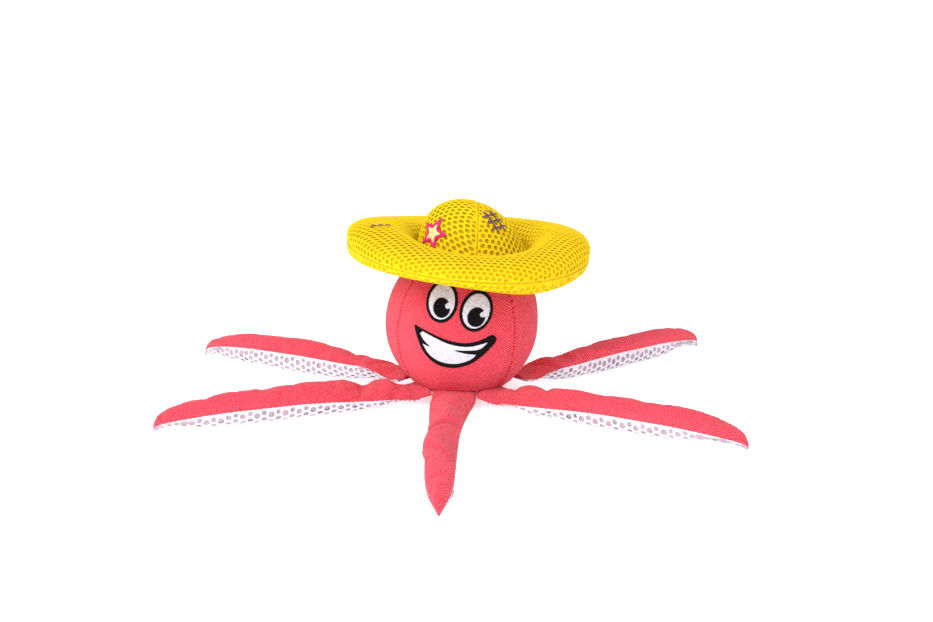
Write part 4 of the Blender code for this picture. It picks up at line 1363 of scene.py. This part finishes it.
# Two upright and three level pairs of strands, crossed.
def makeLattice():
    onto = projector(crownMount(motif["latticeHeading"], motif["latticeHeight"]), crownTree)
    pitch, reach = motif["latticePitch"], motif["latticeReach"]
    lines = []
    for offset in (-0.5 * pitch, 0.5 * pitch):
        for strand in (-0.35, 0.35):
            lines.append((Vector((offset + strand * 0.6, -reach)), Vector((offset + strand, reach))))
    reach *= 0.8
    for offset in (-1.0, 0.0, 1.0):
        for strand in (-0.3, 0.3):
            climb = offset * pitch * 0.85
            lines.append((Vector((-reach, climb + strand)), Vector((reach, climb + strand * 0.5))))
    turn = Matrix.Rotation(math.radians(3.0), 2)
    stitches = []
    for start, stop in lines:
        stitches += [(turn @ a, turn @ b) for a, b in chopLine(start, stop, motif["stitchLength"])]
    runs = layStitches(stitches, onto, 0.1, 0.42)
    return makeThreads("lattice_threads", runs, motif["threadRadius"], purpleThread)


def makeMotifs():
    pieces = makeFlower()
    pieces["lattice_stitches"] = makeLattice()
    turn = Matrix.Rotation(math.radians(motif["dashHeading"] - 90), 4, "Z")
    half = motif["dashLength"] / 2
    stitches = [(Vector((across, -half)), Vector((across, half))) for across in (-0.28, 0.0, 0.28)]
    for number, radius in enumerate(motif["dashRadii"], 1):
        height = hat["seamHeight"] + hat["upperHalf"] - hat["pivotHeight"]
        place = along(motif["dashHeading"], radius, height)
        onto = projector(hatFrame @ Matrix.Translation(place * mm) @ turn, brimTree)
        runs = layStitches(stitches, onto, 0.1, 0.5)
        threads = makeThreads(f"brim_dash_{number}", runs, motif["threadRadius"], purpleThread)
        pieces[f"brim_stitch_{number}"] = threads
    return pieces


motifPieces = makeMotifs()
print("hat embroidered")


# What each piece rides on, its colour slot (not used), and the CAD nodes it stands for.
def dress(thing, body, slot, *nodes):
    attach(thing, body)
    if nodes:
        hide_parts(*nodes)


def threadSlot(node):
    if node.startswith("flower"):
        return "pink_thread" if node == "flower_outline" else "cream_thread"
    if node.endswith(("eye_white", "teeth")):
        return "white_thread"
    return "purple_thread" if node in motifPieces else "black_thread"


headNodes = [f"head_panel_{side}" for side in ("front", "right", "back", "left")]
headNodes += ["head_base_disc", "head_stuffing_upper", "head_stuffing_lower"]
dress(headSkin, "head", "coral_canvas", *headNodes)
dress(headSeams, "head", "coral_canvas")
for body, pieces in (("head", facePieces), ("hat", motifPieces)):
    for node, piece in pieces.items():
        dress(piece, body, threadSlot(node), node)
for piece, nodes in (
    (brimUpper, ["hat_brim_upper_mesh"]),
    (brimLower, ["hat_brim_lower_mesh"]),
    (brimCore, ["hat_brim_stuffing"]),
    (crownLeft, ["hat_crown_left_panel"]),
    (crownRight, ["hat_crown_right_panel"]),
    (crownCore, ["hat_crown_stuffing", "hat_crown_lining"]),
    (hatSeams, []),
):
    dress(piece, "hat", "yellow_mesh", *nodes)
for side, (skin, net, seams) in armPieces.items():
    root, heading = armLayout[side][:2]
    hinge = along(root, arm["hingeRadius"], 4.5)
    start, end = (hinge - along(heading, 5.0)) * mm, (hinge + along(heading, 6.0)) * mm
    for piece in (skin, net, seams):
        tuple(start)
        tuple(end)
        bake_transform(piece)
    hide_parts(f"{side}_arm_top", f"{side}_arm_filling")
    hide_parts(f"{side}_arm_mesh_underside")

for node, material in (
    ("squeaker_bulb", makePlastic("squeaker_plastic", (0.85, 0.85, 0.82), 0.35)),
    ("squeaker_reed", makePlastic("reed_plastic", (0.7, 0.08, 0.08), 0.4)),
):
    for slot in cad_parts[node].material_slots:
        slot.material = material


stage = {
    "floorSize": 60.0, "floorGlow": 0.5, "worldStrength": 0.85, "keyPower": 17.0, "fillPower": 1.5,
    "elevation": 15.81, "distance": 0.75, "lens": 51.5, "target": (0.0028, 0.0, 0.0462),
}


def makeStage():
    half = stage["floorSize"] / 2
    corners = [(-half, -half, 0), (half, -half, 0), (half, half, 0), (-half, half, 0)]
    material, tree, shader, place = newMaterial("pale_floor", 0.9, 0.1)
    shadeBetween(tree, shader, (0.93, 0.93, 0.93), (0.96, 0.96, 0.96), addNoise(tree, place, 1.5)[0])
    shader.inputs["Emission Color"].default_value = (1, 1, 1, 1)
    shader.inputs["Emission Strength"].default_value = stage["floorGlow"]
    floor = makeObject("floor", makeMesh("floor", corners, [(0, 1, 2, 3)]), material)
    world = bpy.data.worlds.new("studio")
    world.use_nodes = True
    background = world.node_tree.nodes["Background"]
    background.inputs["Color"].default_value = (1, 1, 1, 1)
    background.inputs["Strength"].default_value = stage["worldStrength"]
    scene.world = world
    for name, power, size, place in (
        ("key", stage["keyPower"], 0.9, (-0.65, -0.95, 1.0)),
        ("fill", stage["fillPower"], 1.2, (0.9, -0.7, 0.7)),
    ):
        light = bpy.data.lights.new(name, "AREA")
        light.energy, light.size = power, size
        lamp = bpy.data.objects.new(name, light)
        lamp.location = place
        lamp.rotation_euler = (Vector((0, 0, 0.04)) - lamp.location).to_track_quat("-Z", "Y").to_euler()
        scene.collection.objects.link(lamp)


def makeCamera():
    tilt = math.radians(stage["elevation"])
    data = bpy.data.cameras.new("camera")
    data.lens = stage["lens"]
    data.sensor_width = 36.0
    data.clip_start, data.clip_end = 0.01, 100.0
    camera = bpy.data.objects.new("camera", data)
    target = Vector(stage["target"])
    camera.location = target + stage["distance"] * Vector((0, -math.cos(tilt), math.sin(tilt)))
    camera.rotation_euler = (target - camera.location).to_track_quat("-Z", "Y").to_euler()
    scene.collection.objects.link(camera)
    scene.camera = camera


makeStage()
makeCamera()
scene.view_settings.view_transform = "Standard"
print("scene ready")
